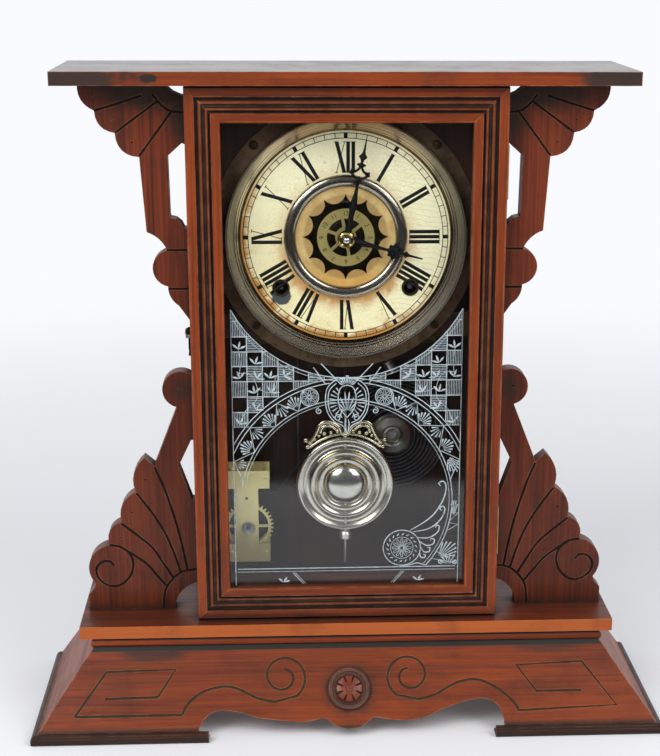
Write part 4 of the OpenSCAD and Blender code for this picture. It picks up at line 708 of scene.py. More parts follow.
def share_of(point):
    """A drawn point's share of the line's width, which it may leave out."""
    return point[2] if len(point) > 2 else 1.0


def curve_piece(name, lines, thickness, flat=1.0, turn=None, sides=0):
    """Round or flattened strips along lines of (x, y, z, share of the thickness) points, as one mesh."""
    curve = bpy.data.curves.new(name, "CURVE")
    curve.dimensions = "3D"
    curve.twist_mode = "Z_UP" if flat < 1 else "MINIMUM"
    curve.bevel_depth = thickness / 2
    curve.bevel_resolution = sides
    curve.use_fill_caps = True
    for line in lines:
        spline = curve.splines.new("POLY")
        spline.points.add(len(line) - 1)
        for point, (x, y, z, share) in zip(spline.points, line):
            point.co = (x, y, z, 1)
            point.radius = share
    only(add_object(name, curve))
    bpy.ops.object.convert(target="MESH")
    piece = bpy.context.active_object
    piece.name = name
    if flat < 1:
        piece.data.transform(turn @ Matrix.Diagonal((1, 1, flat, 1)))
    return piece


def print_flat(name, strokes, width, y, body, material, depth=PRINT_DEPTH):
    """Prints strokes of (x, z) or (x, z, share of the width) points in mm on a face that looks to the front."""
    lines = [[(p[0] * MM, p[1] * MM, 0, share_of(p)) for p in stroke] for stroke in strokes]
    piece = curve_piece(name, lines, width, depth / width, Matrix.Translation((0, y, 0)) @ FACE_ON)
    return finish_piece(piece, body, material)


def at(x, z, radius, degrees):
    """Point at a clockwise angle from twelve o'clock."""
    turn = math.radians(degrees)
    return (x + radius * math.sin(turn), z + radius * math.cos(turn))


def circle(x, z, radius, start=0.0, stop=360.0, steps=72, share=1.0):
    """Points of an arc; angles in degrees clockwise from twelve o'clock."""
    count = max(2, int(abs(stop - start) / 360 * steps) + 1)
    return [(*at(x, z, radius, start + (stop - start) * i / (count - 1)), share) for i in range(count)]


def spiral(x, z, radius, start, turns, inner=0.25, steps=26):
    """A coil from radius inwards; start in degrees clockwise from twelve, turns signed."""
    last = int(abs(turns) * steps)
    return [(*at(x, z, radius * (1 - (1 - inner) * i / last), start + 360 * turns * i / last), 1.0)
            for i in range(last + 1)]


def smooth_line(points, steps=5, shares=None):
    """A line through points without corners."""
    shares = shares or [1.0] * len(points)
    ends = [points[0], *points, points[-1]]
    line = []
    for i in range(1, len(points)):
        a, b, c, d = ends[i - 1:i + 3]
        for step in range(steps):
            t = step / steps
            line.append((*(0.5 * (2 * b[k] + (c[k] - a[k]) * t + (2 * a[k] - 5 * b[k] + 4 * c[k] - d[k]) * t * t
                                  + (3 * b[k] - a[k] - 3 * c[k] + d[k]) * t ** 3) for k in range(len(b))),
                         shares[i - 1] + (shares[i] - shares[i - 1]) * t))
    return line + [(*points[-1], shares[-1])]


def mirrored(strokes):
    return [[(-p[0], *p[1:]) for p in stroke] for stroke in strokes]


def in_edit_mode(*steps):
    """Runs steps on the active piece in edit mode, each with all of the mesh selected."""
    bpy.ops.object.mode_set(mode="EDIT")
    for step in steps:
        bpy.ops.mesh.select_all(action="SELECT")
        step()
    bpy.ops.object.mode_set(mode="OBJECT")


def merge_doubles():
    bpy.ops.mesh.remove_doubles(threshold=MERGE)


def carved_copy(name, node, grooves, width, place, cut_material):
    """A CAD node's copy with round-bottomed grooves; place turns (a, b) mm into a point on its face."""
    piece = add_object(name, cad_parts[node].data.copy())
    lines = [[(*place(p[0], p[1]), share_of(p)) for p in groove] for groove in grooves]
    cutter = curve_piece(name + "_cutter", lines, width, sides=2)
    cutter.data.materials.append(cut_material)
    only(piece)
    in_edit_mode(merge_doubles)
    cut = piece.modifiers.new("grooves", "BOOLEAN")
    cut.operation = "DIFFERENCE"
    cut.solver = "EXACT"
    cut.use_self = True
    cut.material_mode = "TRANSFER"
    cut.object = cutter
    bpy.ops.object.modifier_apply(modifier=cut.name)
    bpy.data.objects.remove(cutter)
    bpy.ops.mesh.customdata_custom_splitnormals_clear()
    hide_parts(node)
    return finish_piece(piece, "case", smooth_deg=CARVING_SMOOTH_DEG)


# ---- dial ----

MINUTE_DEG, HOUR_DEG = 11.4, 104.9
HAND_STROKE = 1.35
ALARM_NUMBER_SIZE, ALARM_NUMBER_R = 4.2, 15.6
# letter: width in mm, and strokes as start, stop and whether thick; points are mm across, share outwards
STROKES = {"I": (3.3, [((0, 0), (0, 1), True)]),
           "V": (5.4, [((-2.5, 1), (0.4, 0), True), ((2.3, 1), (0.4, 0), False)]),
           "X": (6.4, [((-2.6, 1), (2.4, 0), True), ((2.6, 1), (-2.6, 0), False)])}
NUMERALS = ["XII", "I", "II", "III", "IIII", "V", "VI", "VII", "VIII", "IX", "X", "XI"]
SERIF_THICK, SERIF_THIN = 1.5, 1.1
BLOCK_WIDTH = 2.5


class CLOCK_OT_dial_print(bpy.types.Operator):
    """Print the Roman numerals and the minute track on the dial paper"""
    bl_idname = "clock.dial_print"
    bl_label = "Dial print"

    def execute(self, context):
        props = context.scene.clock_dial
        low, high = props.numeral_in / MM, props.numeral_out / MM
        centre = DIAL_Z / MM
        thick, thin, blocks = [], [], []

        def on_dial(hour, across, up):
            turn = math.radians(hour * 30)
            radius = low + (high - low) * up
            return (radius * math.sin(turn) + across * math.cos(turn),
                    centre + radius * math.cos(turn) - across * math.sin(turn))

        for hour, letters in enumerate(NUMERALS):
            left = -sum(STROKES[letter][0] for letter in letters) / 2
            for letter in letters:
                advance, lines = STROKES[letter]
                middle = left + advance / 2
                left += advance
                for start, stop, heavy in lines:
                    ends = [(middle + across, up) for across, up in (start, stop)]
                    (thick if heavy else thin).append([on_dial(hour, *end) for end in ends])
                    serif = SERIF_THICK if heavy else SERIF_THIN
                    thin += [[on_dial(hour, across - serif, up), on_dial(hour, across + serif, up)]
                             for across, up in ends if letter != "V" or up]
        track = (props.track_in / MM, props.track_out / MM)
        for minute in range(60):
            (thin if minute % 5 else blocks).append([at(0, centre, radius, minute * 6) for radius in track])
        thin += [circle(0, centre, radius, steps=180) for radius in track]
        ink = plain_material("printing_ink", props.ink, 0.5)
        for name, strokes, width in (("numeral_thick_strokes", thick, props.thick),
                                     ("numeral_hairlines", thin, props.thin),
                                     ("minute_blocks", blocks, BLOCK_WIDTH * MM)):
            print_flat(name, strokes, width, PAPER_LOW.y, "case", ink)
        return {"FINISHED"}


# strokes of a hand that points to twelve: mm across, mm outwards, share of HAND_STROKE
HAND_HORN = [[(0, 39.6, 1.7), (2.4, 40.3, 1.3), (4.4, 41.8, 1.3), (5.4, 43.6, 1.7), (5.9, 45.2, 0.5)],
             [(6.6, 42.2, 0.4), (5.2, 43.1, 2.6), (3.9, 43.9, 1.5), (2.3, 44.6, 1.2), (1.0, 46.2, 1.2),
              (0, 48.6, 1.4)]]
MINUTE_HAND = [[(0, 3.4, 3.4), (0, 8, 3.4), (0, 12.5, 2.5), (0, 17, 2.6), (0, 22, 3.5), (0, 25, 3.1),
                (0, 30, 1.9), (0, 36, 1.2), (0, 37.5, 1.4), (0, 39.3, 3.6), (0, 41.4, 0.5)],
               [(-2.9, 48.9, 0.5), (-1.4, 48.6, 1.7), (0, 48.5, 2.0), (1.4, 48.6, 1.7), (2.9, 48.9, 0.5)],
               [(0, 48, 1.9), (0, 50.6, 1.2), (0, 52.0, 1.9), (0, 53.8, 4.3), (0, 55.8, 1.9), (0, 57.2, 1.2),
                (0, 65, 0.5)]] + HAND_HORN + mirrored(HAND_HORN) + [circle(0, 0, 3.4, steps=32, share=2.2)]
HOUR_HAND = [[(0, 4.4, 4.6), (0, 9, 3.9), (0, 12, 3.0), (0, 17, 2.1), (0, 24, 1.6), (0, 27.4, 1.3)],
             [(0, 26.4, 0.8), (0, 28.4, 2.0), (0, 32.1, 5.6), (0, 35.8, 2.0), (0, 37.6, 1.0)],
             [(-5.6, 32.1, 0.8), (-3.8, 32.1, 2.4), (0, 32.1, 4.6), (3.8, 32.1, 2.4), (5.6, 32.1, 0.8)],
             [(0, 37.2, 1.2), (0, 38.6, 1.6), (0, 40.0, 3.6), (0, 41.6, 1.6), (0, 43, 1.2), (0, 51.4, 0.7)]]
HOUR_HAND += [[(a, 32.1 + side * a, share)
               for a, share in ((-3.5, 1.0), (-2.3, 2.6), (0, 2.6), (2.3, 2.6), (3.5, 1.0))]
              for side in (-1, 1)]
HOUR_HAND.append(circle(0, 0, 4.2, steps=32, share=2.2))


class CLOCK_OT_hands(bpy.types.Operator):
    """Cut the two ornamented hands"""
    bl_idname = "clock.hands"
    bl_label = "Hands"

    def execute(self, context):
        for node, body, strokes, degrees in (("minute_hand", "minute_work", MINUTE_HAND, MINUTE_DEG),
                                             ("hour_hand", "hour_work", HOUR_HAND, HOUR_DEG)):
            low, high = pair(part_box(node))
            turn = math.radians(degrees)
            turned = [[(across * math.cos(turn) + out * math.sin(turn),
                        DIAL_Z / MM - across * math.sin(turn) + out * math.cos(turn), share)
                       for across, out, share in stroke] for stroke in strokes]
            piece = print_flat(node + "_cut", turned, HAND_STROKE * MM, (low.y + high.y) / 2, body,
                               bpy.data.materials["black_hands"], (high.y - low.y) * 0.5)
            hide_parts(node)
        return {"FINISHED"}


class CLOCK_OT_alarm_numbers(bpy.types.Operator):
    """Engrave plain numbers round the alarm setting disc"""
    bl_idname = "clock.alarm_numbers"
    bl_label = "Alarm numbers"

    def execute(self, context):
        face = pair(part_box("alarm_disc"))[0].y
        numbers = []
        for hour in range(1, 13):
            only()
            bpy.ops.object.text_add()
            text = context.active_object.data
            text.body = str(hour)
            text.size = ALARM_NUMBER_SIZE * MM
            text.extrude = 0.02 * MM
            text.align_x = text.align_y = "CENTER"
            bpy.ops.object.convert(target="MESH")
            number = context.active_object
            x, z = at(0, DIAL_Z, ALARM_NUMBER_R * MM, hour * 30)
            number.data.transform(Matrix.Translation((x, face, z))
                                  @ Matrix.Rotation(math.radians(hour * 30), 4, "Y") @ FACE_ON)
            numbers.append(number)
        finish_piece(joined("alarm_numbers", numbers), "alarm_dial",
                     plain_material("engraving_black", (0.06, 0.04, 0.02), 0.6))
        return {"FINISHED"}


# ---- stencilled tablet ----

# middle and radii of the arched band, and of the sweep that follows the dial
BAND_Z = 151.2
OUTER_R, OUTER_R2, INNER_R, INNER_R2 = 85.0, 82.4, 70.6, 68.6
SWEEP_Z, SWEEP_R = 321.0, 84.7
EDGE_X = 75.2
GRID_INNER, GRID_FOOT, GRID_TOP = 14, 203.6, 282
GRID_X = [75.2, 65.3, 55.2, 45.1, 35.0, 25.2, 15.0]
HATCHES = 8
GRID_Z = [274.4, 264.2, 254.2, 244.5, 234.4, 224.0, 213.6, 203.6]
NODES_DEG = [20, 27, 34, 42, 51, 60, 69, 78]


def in_checker(x, z):
    """Whether a point is in the corner between the dial's sweep and the arched band."""
    return (GRID_INNER < abs(x) <= EDGE_X + 0.01 and math.hypot(x, z - SWEEP_Z) > SWEEP_R + 0.4
            and math.hypot(x, z - BAND_Z) > OUTER_R + 0.4 and GRID_FOOT - 0.1 < z < GRID_TOP)


def clipped(start, stop, inside, steps=40):
    """The stretches of a straight line that are inside."""
    points = [tuple(a + (b - a) * (i / steps) for a, b in zip(start, stop)) for i in range(steps + 1)]
    runs = [list(run) for kept, run in itertools.groupby(points, lambda point: inside(*point)) if kept]
    return [[run[0], run[-1]] for run in runs if len(run) > 1]


def leaf(x, z, length, degrees):
    """One painted leaf."""
    return [(*at(x, z, length * t, degrees), share)
            for t, share in ((0, 0.3), (0.3, 1.7), (0.6, 2.3), (1, 0.25))]


def fan(x, z, near, far, middle, spread, count, fat_end=True):
    """Petals that open from a point, the outer ones shorter."""
    petals = []
    for i in range(count):
        off = i / (count - 1) - 0.5
        reach = far * (1 - 0.5 * abs(off)) - near
        shares = (0.5, 0.9, 1.9, 1.6) if fat_end else (0.3, 0.9, 1.4, 1.7)
        petals.append([(*at(x, z, near + reach * t, middle + spread * off), share)
                       for t, share in zip((0, 0.5, 0.85, 1), shares)])
    return petals


def flower(x, z, near, far, count):
    """Open petals round a centre."""
    half = 0.34 * 360 / count
    outline = [(near, 0), ((near + far) / 2, -half), (far * 0.93, -half * 0.6), (far, 0),
               (far * 0.93, half * 0.6), ((near + far) / 2, half), (near, 0)]
    return [[at(x, z, radius, 360 * i / count + turn) for radius, turn in outline] for i in range(count)]


def checker_strokes():
    """Left corner: squares in turn hatched and plain."""
    lines, hatch = [], []
    for x in GRID_X:
        lines += clipped((-x, GRID_FOOT), (-x, GRID_TOP), in_checker, 300)
    for z in GRID_Z:
        lines += clipped((-EDGE_X, z), (-GRID_INNER, z), in_checker, 300)
    lines.append([(-EDGE_X, GRID_FOOT), (-64.6, GRID_FOOT)])
    for row, (top, bottom) in enumerate(zip(GRID_Z, GRID_Z[1:])):
        for column, (left, right) in enumerate(zip(GRID_X, GRID_X[1:])):
            for i in range(1, HATCHES + 1) if (row + column) % 2 == 0 else ():
                t = i / (HATCHES + 1)
                x, z = left + (right - left) * t, bottom + (top - bottom) * t
                ends = ((-left, z), (-right, z)) if row % 2 else ((-x, bottom), (-x, top))
                hatch += clipped(*ends, in_checker)
    for i in range(1, HATCHES + 1):
        x = -EDGE_X + i * 1.1
        hatch += clipped((x, 274.6), (x, 283), lambda a, b: math.hypot(a, b - SWEEP_Z) > SWEEP_R + 0.3)
    return lines, hatch


# x, z and lean in degrees
SPRIGS = [(-70.5, 256, 10), (-60, 246, 20), (-70, 236.5, -20), (-59, 236.5, 40), (-50.5, 236.5, 15),
          (-41, 237.5, 55), (-60.5, 226.5, -10), (-49.5, 226.5, 30), (-60, 215.5, 40), (-70.5, 205.5, 25)]
BRANCHES = [[(-70.5, 256), (-69.5, 246), (-70.5, 238)],
            [(-70, 240), (-63, 239), (-59, 231), (-59.5, 222), (-67, 214), (-70, 205)],
            [(-59, 230), (-50, 227), (-46, 238), (-40, 239)]]


def edge_radius(degrees):
    """How far the tablet's edge is from the band's centre in a direction."""
    return (EDGE_X - 0.4) / math.sin(math.radians(degrees))


def side_strokes():
    """Left half of the arched band."""
    lines = [circle(0, BAND_Z, OUTER_R, -62.2, 0), circle(0, BAND_Z, OUTER_R2, -65.4, -8)]
    petals, zigzag = [], []
    for i, degrees in enumerate(NODES_DEG):
        edge = min(OUTER_R2, edge_radius(degrees))
        outward = i % 2 == 0
        zigzag.append(at(0, BAND_Z, edge if outward else INNER_R, -degrees))
        if not 0 < i < len(NODES_DEG) - 1:
            continue
        reach = edge - INNER_R - 2.2
        if outward:
            petals += fan(*at(0, BAND_Z, edge - 1.2, -degrees), 2.6, reach, 180 - degrees, 70, 5, False)
        else:
            petals += fan(*at(0, BAND_Z, INNER_R + 1.2, -degrees), 2.2, min(9.6, reach), -degrees, 95, 7)
    lines.append(zigzag)
    rosette = at(0, BAND_Z, 76.4, -18.8)
    lines.append(circle(*rosette, 5.9, steps=40))
    thin = [circle(*rosette, 4.9, steps=40), *flower(*rosette, 1.0, 4.3, 8), circle(*rosette, 1.0, steps=16)]
    return lines, petals, thin


def cartouche_strokes():
    """Middle ornament: a palmette in a shield with winged sides; left half."""
    wing = [(-1, 236), (-8, 234.5), (-13.2, 229), (-14.2, 220), (-12.6, 212.5), (-8.2, 206.5), (-3.2, 204),
            (0, 198.6)]
    inner = [(0, 231.5), (-4.2, 229.5), (-5.9, 223), (-4.6, 215.5), (0, 209.5)]
    lines = [smooth_line(wing), smooth_line([(x * 0.88, 220 + (z - 220) * 0.88) for x, z in wing[1:-1]]),
             smooth_line(inner), spiral(-6.0, 209.2, 2.6, 90, -1.4), spiral(-18.5, 214, 2.2, 0, -1.3),
             [(-14, 232), (-22, 243.5)], [(-4, 232), (-17, 246)]]
    petals = []
    for z, count, first, apart, reaches in (
            (220.5, 9, -38, 14.5, lambda i: ((7.4, 0.5), (11.6, 1.5))),
            (212.5, 4, -6, 17, lambda i: ((2, 0.4), (12 - i * 2.6, 1.5), (14.5 - i * 3, 0.5))),
            (229.5, 5, -4, 13, lambda i: ((3.2, 0.4), (8.5 - i * 0.7, 1.6)))):
        petals += [[(*at(0, z, radius, first - i * apart), share) for radius, share in reaches(i)]
                   for i in range(count)]
    return lines, petals + [[(-0.7, 208.5, 0.4), (-1.4, 205, 1.6), (-0.5, 200, 0.6)]]


class CLOCK_OT_tablet(bpy.types.Operator):
    """Stencil the white ornament on the back of the glass"""
    bl_idname = "clock.tablet"
    bl_label = "Stencilled tablet"

    def execute(self, context):
        props = context.scene.clock_tablet
        lines, hatch = checker_strokes()
        band, petals, thin = side_strokes()
        shield, shield_petals = cartouche_strokes()
        leaves = [leaf(x, z, 5.4, turn + side) for x, z, turn in SPRIGS for side in (0, 55, -60)]
        thin += [smooth_line(branch) for branch in BRANCHES] + hatch
        lines += band + shield + [[(-EDGE_X, 90), (-EDGE_X, 282)]]
        petals += shield_petals
        for strokes in (lines, petals, thin, leaves):
            strokes += mirrored(strokes)
        lines += [circle(0, SWEEP_Z, SWEEP_R, 117.6, 242.4), circle(0, BAND_Z, INNER_R, -81, 131)]
        thin += [circle(0, SWEEP_Z, SWEEP_R + 2.2, 119.8, 240.2), circle(0, BAND_Z, INNER_R2, -78, 131)]
        lines.append(smooth_line([at(0, BAND_Z, INNER_R, 131)[:2], (47.5, 106.6), (42, 105.1), (37, 104.9)]))
        lines += [[(-74, 103.9), (73.3, 104.1)], [(-36.8, 101), (-29.6, 92.8)], [(38.6, 101), (31.4, 92.8)]]
        thin += [[(-74, 101.8), (73.3, 102)], [(-35.2, 101), (-28, 92.8)], [(37, 101), (29.8, 92.8)]]
        self.corner(lines, thin, petals)
        for x in (-43, 48):
            leaves += [leaf(x, 94, 4.6, turn) for turn in (-50, 30, 75)]
        paint = stencil_paint(props.paint)
        for name, strokes, share in (("stencil_lines", lines, 1), ("stencil_petals", petals + leaves, 1),
                                     ("stencil_hairlines", thin, 0.55)):
            print_flat(name, strokes, props.line * share, GLASS_HIGH.y, "door", paint)
        return {"FINISHED"}

    @staticmethod
    def corner(lines, thin, petals):
        """Roundel, tendrils and rays of the lower right corner."""
        x, z = 37.0, 117.7
        lines += [circle(x, z, 12.6)]
        thin += [circle(x, z, 7.6, steps=48), circle(x, z, 1.3, steps=16)] + flower(x, z, 1.3, 6.6, 12)
        petals += [[(*at(x, z, 9.2, i * 20), 1.5), (*at(x, z, 10.6, i * 20 + 9), 0.5)] for i in range(18)]
        tendrils = [
            [(42.4, 130.0), (56.3, 139.2), (64.0, 150.4), (66.4, 160.0), (64.5, 164.5), (61.4, 163.2),
             (62.8, 161.2)],
            [(44.4, 129.0), (55.4, 131.3), (62.9, 137.5), (65.8, 144.2), (64.4, 147.0), (62.4, 145.4),
             (63.8, 143.8)],
            [(47.4, 125.0), (55.0, 124.6), (60.9, 128.4), (62.2, 132.6), (60.2, 133.5), (59.6, 131.8)],
            [(49.0, 122.2), (53.5, 119.2), (58.0, 120.0), (59.0, 123.2), (56.8, 124.0), (56.4, 122.6)],
            [(49.4, 119.0), (52.0, 114.6), (55.6, 114.8), (56.0, 117.4), (54.0, 117.6)],
            [(49.0, 115.4), (49.8, 111.0), (52.4, 110.4), (53.0, 112.2), (51.6, 112.8)]]
        for tendril in tendrils:
            lines.append(smooth_line(tendril, shares=[0.6] + [1.3] * (len(tendril) - 2) + [0.6]))
        for x, z, reach, middle, spread, count in (
                (66.8, 181.6, 12.4, 146, 64, 7), (71.6, 139.0, 13.0, 4, 24, 4), (61.8, 110.0, 15.6, 48, 66, 7)):
            petals += fan(x, z, 2.0, reach, middle, spread, count, False)
        thin += [[at(0, BAND_Z, INNER_R, degrees + turn), at(0, BAND_Z, edge_radius(degrees), degrees)]
                 for degrees in (97, 103, 121) for turn in (0, 5)]
        lines += [spiral(63.4, 107.6, 1.8, 90, 1.3), spiral(73.2, 107.2, 1.8, 270, -1.3)]
        petals += fan(68.4, 105.2, 1.0, 8.6, 0, 120, 6, False)


# ---- carving ----

GROOVE_LIFT = 0.25
# the base's sloping front: y and z of its foot in mm, and its direction upwards
SLOPE_FOOT = (-66.5, 7.0)
SLOPE_RISE, SLOPE_BACK = 0.8308, 0.5566


def on_front(y):
    """Places (x, z) in mm on a face that looks to the front."""
    return lambda x, z: (x * MM, y - GROOVE_LIFT * MM, z * MM)


def on_base(x, s):
    """Places (x, way up the slope) in mm on the base's sloping front."""
    y, z = SLOPE_FOOT
    return (x * MM, (y + SLOPE_BACK * s - SLOPE_RISE * GROOVE_LIFT) * MM,
            (z + SLOPE_RISE * s + SLOPE_BACK * GROOVE_LIFT) * MM)


def dots(*spots):
    """Drilled dots, as very short strokes."""
    return [[(x, z), (x, z + 0.7)] for x, z in spots]


def base_grooves():
    """A scroll, a stem and a panel on each half, drawn apart because the halves differ."""
    left = [(-111.8, 10.9), (-107.7, 18.6), (-96.5, 26.8), (-79.5, 29.3), (-61.3, 21.2), (-50, 18.6)]
    right = [(114.6, 9.3), (110.6, 15.8), (101, 24.5), (87, 31.2), (72.6, 29.3), (58, 21.6), (47, 18.6)]
    return [smooth_line(left) + spiral(-44.2, 35.4, 16.2, 160, -1.42, 0.3)[1:],
            [(-182.9, 10.9), (-111.9, 10.9)], [(-128, 23.2), (-163, 22.4)],
            [(-182.9, 10.9), (-162.5, 40.7), (-116.2, 41.6), (-128, 23.2)],
            smooth_line(right) + spiral(40.8, 34.9, 16.2, 200, 1.42, 0.3)[1:],
            [(114.6, 9.7), (180.7, 12.3), (158.7, 42.5), (114, 40.7), (126.7, 22.6), (157.6, 22.7)]]


def upper_grooves():
    """Ribs, hollows and dots of the right upper bracket."""
    return [[(158.2, 406.1), (143.1, 410.6), (128.2, 415.5)], [(145.5, 392.6), (118.8, 411.7)],
            [(131.1, 377.8), (110.2, 405.1)], [(115.4, 318), (99, 318)], [(115.7, 292.8), (99, 292.8)],
            smooth_line([(121.5, 416.5), (116.8, 410.3), (110.4, 406), (100.5, 405.2)]),
            *dots((147.2, 400), (135.3, 386), (159, 414))]


def lower_grooves():
    """Leaf ribs, scroll and dots of the right lower bracket."""
    curves = [[(128.5, 171.8), (122.8, 157.6), (116.9, 138.1), (112.4, 119.1), (108.6, 97.8)],
              [(141.4, 153.8), (131.2, 139.3), (123.3, 125.4), (117.8, 111.5), (113.2, 96.4)],
              [(152.2, 132.1), (141.4, 123.2), (132.1, 114.6), (125.2, 103.8), (118.6, 92.6)],
              [(153.7, 115.3), (144.9, 109.5), (136.2, 102.8), (129.2, 94.1), (122.4, 85.5)],
              [(125.5, 69.8), (124.2, 83.1), (119.0, 91.4), (112.2, 96.7), (104.3, 98.3), (98, 98.6)],
              [(160.9, 116.8), (152.5, 114.9), (147.1, 109.5), (145.4, 102.1), (147.6, 94.4), (153.0, 88.6),
               (159.1, 86.8), (165.7, 89.2), (170.2, 94.8), (170.0, 100.8), (166.2, 104.7), (161.1, 105.0),
               (158.5, 101.8)]]
    return [*map(smooth_line, curves), *dots((111.6, 225.5), (135.0, 162.7), (144.9, 139.8), (153.1, 122.0))]


class CLOCK_OT_carving(bpy.types.Operator):
    """Cut the scrolls and panels into the base and the brackets"""
    bl_idname = "clock.carving"
    bl_label = "Carving"

    def execute(self, context):
        patina = plain_material("groove_patina", (0.050, 0.040, 0.026), 0.75)
        carved_copy("base_front_carved", "base_front_board", base_grooves(), 1.8 * MM, on_base,
                    patina)
        black = plain_material("groove_black", (0.012, 0.010, 0.009), 0.7)
        for node, slot, grooves, width, face in (
                ("upper_brackets", "dark_walnut", upper_grooves(), 1.7, UPPER_LOW.y),
                ("lower_brackets", "red_walnut", lower_grooves(), 1.9, LOWER_LOW.y)):
            carved_copy(node + "_carved", node, grooves + mirrored(grooves), width * MM, on_front(face),
                        black)
        return {"FINISHED"}


# ---- pendulum bob ----

BOB_R = 32.0
SPIN_STEPS = 96
# radius and y in mm, from the middle of the front to the middle of the back
BOB_PROFILE = [(0.0, 4.6), (3.5, 4.8), (7.0, 5.5), (10.0, 6.7), (12.2, 8.3), (13.4, 10.0), (13.8, 10.6),
               (14.4, 9.9), (15.2, 9.2), (17.0, 9.0), (18.2, 9.3), (18.8, 10.2), (19.4, 9.6), (20.6, 8.7),
               (22.0, 8.4), (23.0, 8.9), (23.6, 9.8), (24.4, 10.4), (26.4, 10.6), (28.0, 9.8), (29.6, 8.9),
               (30.8, 8.9), (31.7, 9.8), (32.0, 11.0), (31.6, 12.2), (30.0, 13.4), (24.0, 14.4), (0.0, 15.4)]
CREST_Y = 11.0
CREST_WIRE = 2.7
CREST_SCROLLS = [smooth_line([(0, 188.2), (-2.2, 190.4), (-4.3, 194.5), (-9.7, 197.7), (-13.8, 198.1),
                              (-17.6, 195.7), (-19.9, 190.5), (-22.4, 186.0), (-25.0, 183.0)], 6,
                             [0.9, 0.9, 1.0, 1.1, 1.2, 1.2, 1.1, 1.0, 0.9]),
                 smooth_line([(-16.8, 190.4), (-15.8, 194.0), (-12.4, 195.6), (-8.6, 194.4), (-5.2, 191.4)], 6,
                             [0.7, 0.9, 0.9, 0.8, 0.6]),
                 circle(0, 154, 35.6, -42, 0, share=0.7)]
# x, z and radius in mm
CREST_BEADS = [(27.0, 185.4, 1.9), (25.7, 180.6, 1.8), (23.2, 183.0, 1.3), (14.4, 190.0, 1.7),
               (9.8, 190.6, 1.6), (5.4, 191.6, 1.5), (18.0, 188.4, 1.3), (20.8, 186.0, 1.2)]


class CLOCK_OT_bob(bpy.types.Operator):
    """Turn the nickel bob and set its scrolled crest"""
    bl_idname = "clock.bob"
    bl_label = "Pendulum bob"

    def execute(self, context):
        self.turning(*pair(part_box("pendulum_bob")))
        self.crest()
        return {"FINISHED"}

    @staticmethod
    def turning(low, high):
        """The pressed bob, spun from its profile."""
        radius = (high.x - low.x) / 2
        middle, centre_z = (low.x + high.x) / 2, low.z + radius
        share = radius / BOB_R
        only()
        bpy.ops.mesh.primitive_plane_add(size=MM, location=(0, 0, 0))
        bob = bpy.context.active_object
        bob.name = "bob_turning"
        bob.data.clear_geometry()
        points = [(middle + max(r, 0) * share, y * MM, centre_z) for r, y, _ in smooth_line(BOB_PROFILE, 3)]
        bob.data.from_pydata(points, [(i, i + 1) for i in range(len(points) - 1)], [])
        in_edit_mode(lambda: bpy.ops.mesh.spin(steps=SPIN_STEPS, angle=2 * math.pi,
                                               center=(middle, 0, centre_z), axis=(0, 1, 0)),
                     merge_doubles, lambda: bpy.ops.mesh.normals_make_consistent(inside=False))
        polished = metal("polished_nickel", (0.66, 0.645, 0.60), (0.34, 0.32, 0.28), 0.3, 90.0, 0.20, 0.34,
                         POLISHED_GRIT)
        repaint(polished, (0.46, 0.35, 0.19), lambda place: dark_rings(place, middle, centre_z, BOB_RINGS))
        finish_piece(bob, "bob", polished, BOB_SMOOTH_DEG)
        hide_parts("pendulum_bob")

    @staticmethod
    def crest():
        """Scrolls of wire with beads between them."""
        lines = [[(x * MM, CREST_Y * MM, z * MM, share) for x, z, share in line]
                 for line in CREST_SCROLLS + mirrored(CREST_SCROLLS)]
        made = [curve_piece("bob_crest", lines, CREST_WIRE * MM, sides=3)]
        for x, z, radius in CREST_BEADS:
            for side in (-1, 1):
                only()
                bpy.ops.mesh.primitive_uv_sphere_add(segments=16, ring_count=10, radius=radius * MM)
                made.append(bpy.context.active_object)
                made[-1].data.transform(Matrix.Translation((side * x * MM, CREST_Y * MM, z * MM)))
        gilt = metal("crest_nickel", (0.72, 0.66, 0.50), (0.30, 0.23, 0.12), 0.4, 150.0, 0.16, 0.4)
        finish_piece(joined("bob_crest", made), "bob", gilt, BOB_SMOOTH_DEG)


# ---- stage ----

BACKDROP = (0.95, 0.965, 0.99, 1)
FLOOR_R = 30
LAMP_SIZE = 0.9
LAMP_AIM = Vector((0, 0, 0.2))


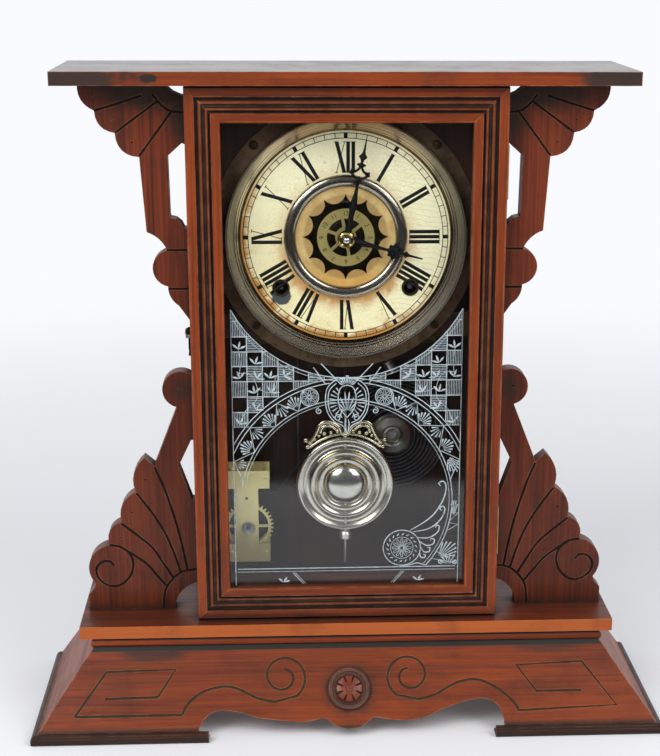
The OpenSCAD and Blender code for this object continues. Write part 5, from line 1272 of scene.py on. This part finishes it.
class CLOCK_OT_stage(bpy.types.Operator):
    """Set the camera, the pale floor and the lamps"""
    bl_idname = "clock.stage"
    bl_label = "Stage"

    def execute(self, context):
        props = context.scene.clock_stage
        lens = bpy.data.cameras.new("photo_camera")
        lens.sensor_fit = "HORIZONTAL"
        lens.sensor_width = 36.0
        lens.lens = props.focal * lens.sensor_width
        lens.shift_x, lens.shift_y = props.shift
        camera = add_object("photo_camera", lens)
        camera.location = props.camera_at
        camera.rotation_euler = props.camera_turn
        context.scene.camera = camera
        only()
        bpy.ops.mesh.primitive_circle_add(vertices=96, radius=FLOOR_R, fill_type="NGON", location=(0, 0, 0))
        floor = context.active_object
        floor.name = "pale_floor"
        coat_with(floor, self.floor_material(props.floor))
        self.lamp("key_softbox", (-0.9, -1.1, 1.25), props.key)
        self.lamp("fill_softbox", (1.0, -1.0, 1.15), props.fill)
        self.backdrop(context.scene)
        context.scene.view_settings.view_transform = "Standard"
        return {"FINISHED"}

    @staticmethod
    def backdrop(scene):
        """A white studio that is dark in front, as polished metal shows it."""
        scene.world = bpy.data.worlds.new("studio")
        scene.world.use_nodes = True
        tree = scene.world.node_tree
        rays = put("ShaderNodeLightPath", {}, tree).outputs
        seen = largest([rays[kind] for kind in ("Is Glossy Ray", "Is Transmission Ray", "Is Camera Ray")])
        toward = along(source(tree, "ShaderNodeTexCoord", "Generated"), "Y")
        dark_room = times(rays["Is Glossy Ray"], ramp(toward, 0.05, -0.25, 0.0, 0.93))
        feed(tree.nodes["Background"], {"Color": mix(dark_room, BACKDROP, (0.0, 0.0, 0.0)),
                                        "Strength": ramp(seen, 0.0, 1.0, 0.66, 1.0)})

    @staticmethod
    def floor_material(colour):
        """Pale sheet that turns into the white backdrop far off, and ends in a dark room in front."""
        material, shader, tree = new_material("pale_floor")
        place = place_in(tree)
        rays = put("ShaderNodeLightPath", {}, tree).outputs
        feed(shader, {"Base Color": rgba(colour), "Roughness": 0.7, "Specular IOR Level": 0.2})
        white, dark = (put("ShaderNodeEmission", {"Color": shade, "Strength": 1.0}, tree).outputs[0]
                       for shade in (BACKDROP, (0.02, 0.02, 0.022, 1)))
        far = times(ramp(length_of(place), 0.35, 1.5), larger(rays["Is Camera Ray"], rays["Is Glossy Ray"]))
        sheet = put("ShaderNodeMixShader", {0: far, 1: shader.outputs[0], 2: white}).outputs[0]
        front = times(ramp(along(place, "Y"), -0.50, -0.56), rays["Is Glossy Ray"])
        show_instead(material, put("ShaderNodeMixShader", {0: front, 1: sheet, 2: dark}).outputs[0])
        return material

    @staticmethod
    def lamp(name, place, power):
        """A square softbox that looks at the clock."""
        data = bpy.data.lights.new(name, "AREA")
        data.shape = "SQUARE"
        data.size = LAMP_SIZE
        data.energy = power
        lamp = add_object(name, data)
        lamp.location = place
        lamp.rotation_euler = (LAMP_AIM - Vector(place)).to_track_quat("-Z", "Y").to_euler()


class CLOCK_PT_panel(bpy.types.Panel):
    """Lists the clock's steps"""
    bl_idname = "CLOCK_PT_panel"
    bl_label = "Parlour shelf clock"
    bl_space_type = "VIEW_3D"
    bl_region_type = "UI"
    bl_category = "Clock"

    def draw(self, context):
        for step in STEPS:
            self.layout.operator(step.bl_idname)
        for name in SETTINGS:
            group = getattr(context.scene, name)
            box = self.layout.box()
            for key in group.__annotations__:
                box.prop(group, key)


SETTINGS = {"clock_wood": ClockWood, "clock_dial": ClockDial, "clock_tablet": ClockTablet,
            "clock_stage": ClockStage}
STEPS = [CLOCK_OT_stage, CLOCK_OT_finishes, CLOCK_OT_dial_print, CLOCK_OT_hands, CLOCK_OT_alarm_numbers,
         CLOCK_OT_tablet, CLOCK_OT_carving, CLOCK_OT_bob]
CLASSES = [*SETTINGS.values(), *STEPS, CLOCK_PT_panel]


def register():
    for kind in CLASSES:
        bpy.utils.register_class(kind)
    for name, kind in SETTINGS.items():
        setattr(bpy.types.Scene, name, bpy.props.PointerProperty(type=kind))


def unregister():
    for name in SETTINGS:
        delattr(bpy.types.Scene, name)
    for kind in reversed(CLASSES):
        bpy.utils.unregister_class(kind)


def main():
    register()
    for step in STEPS:
        family, name = step.bl_idname.split(".")
        getattr(getattr(bpy.ops, family), name)()


if __name__ == "__main__":
    main()
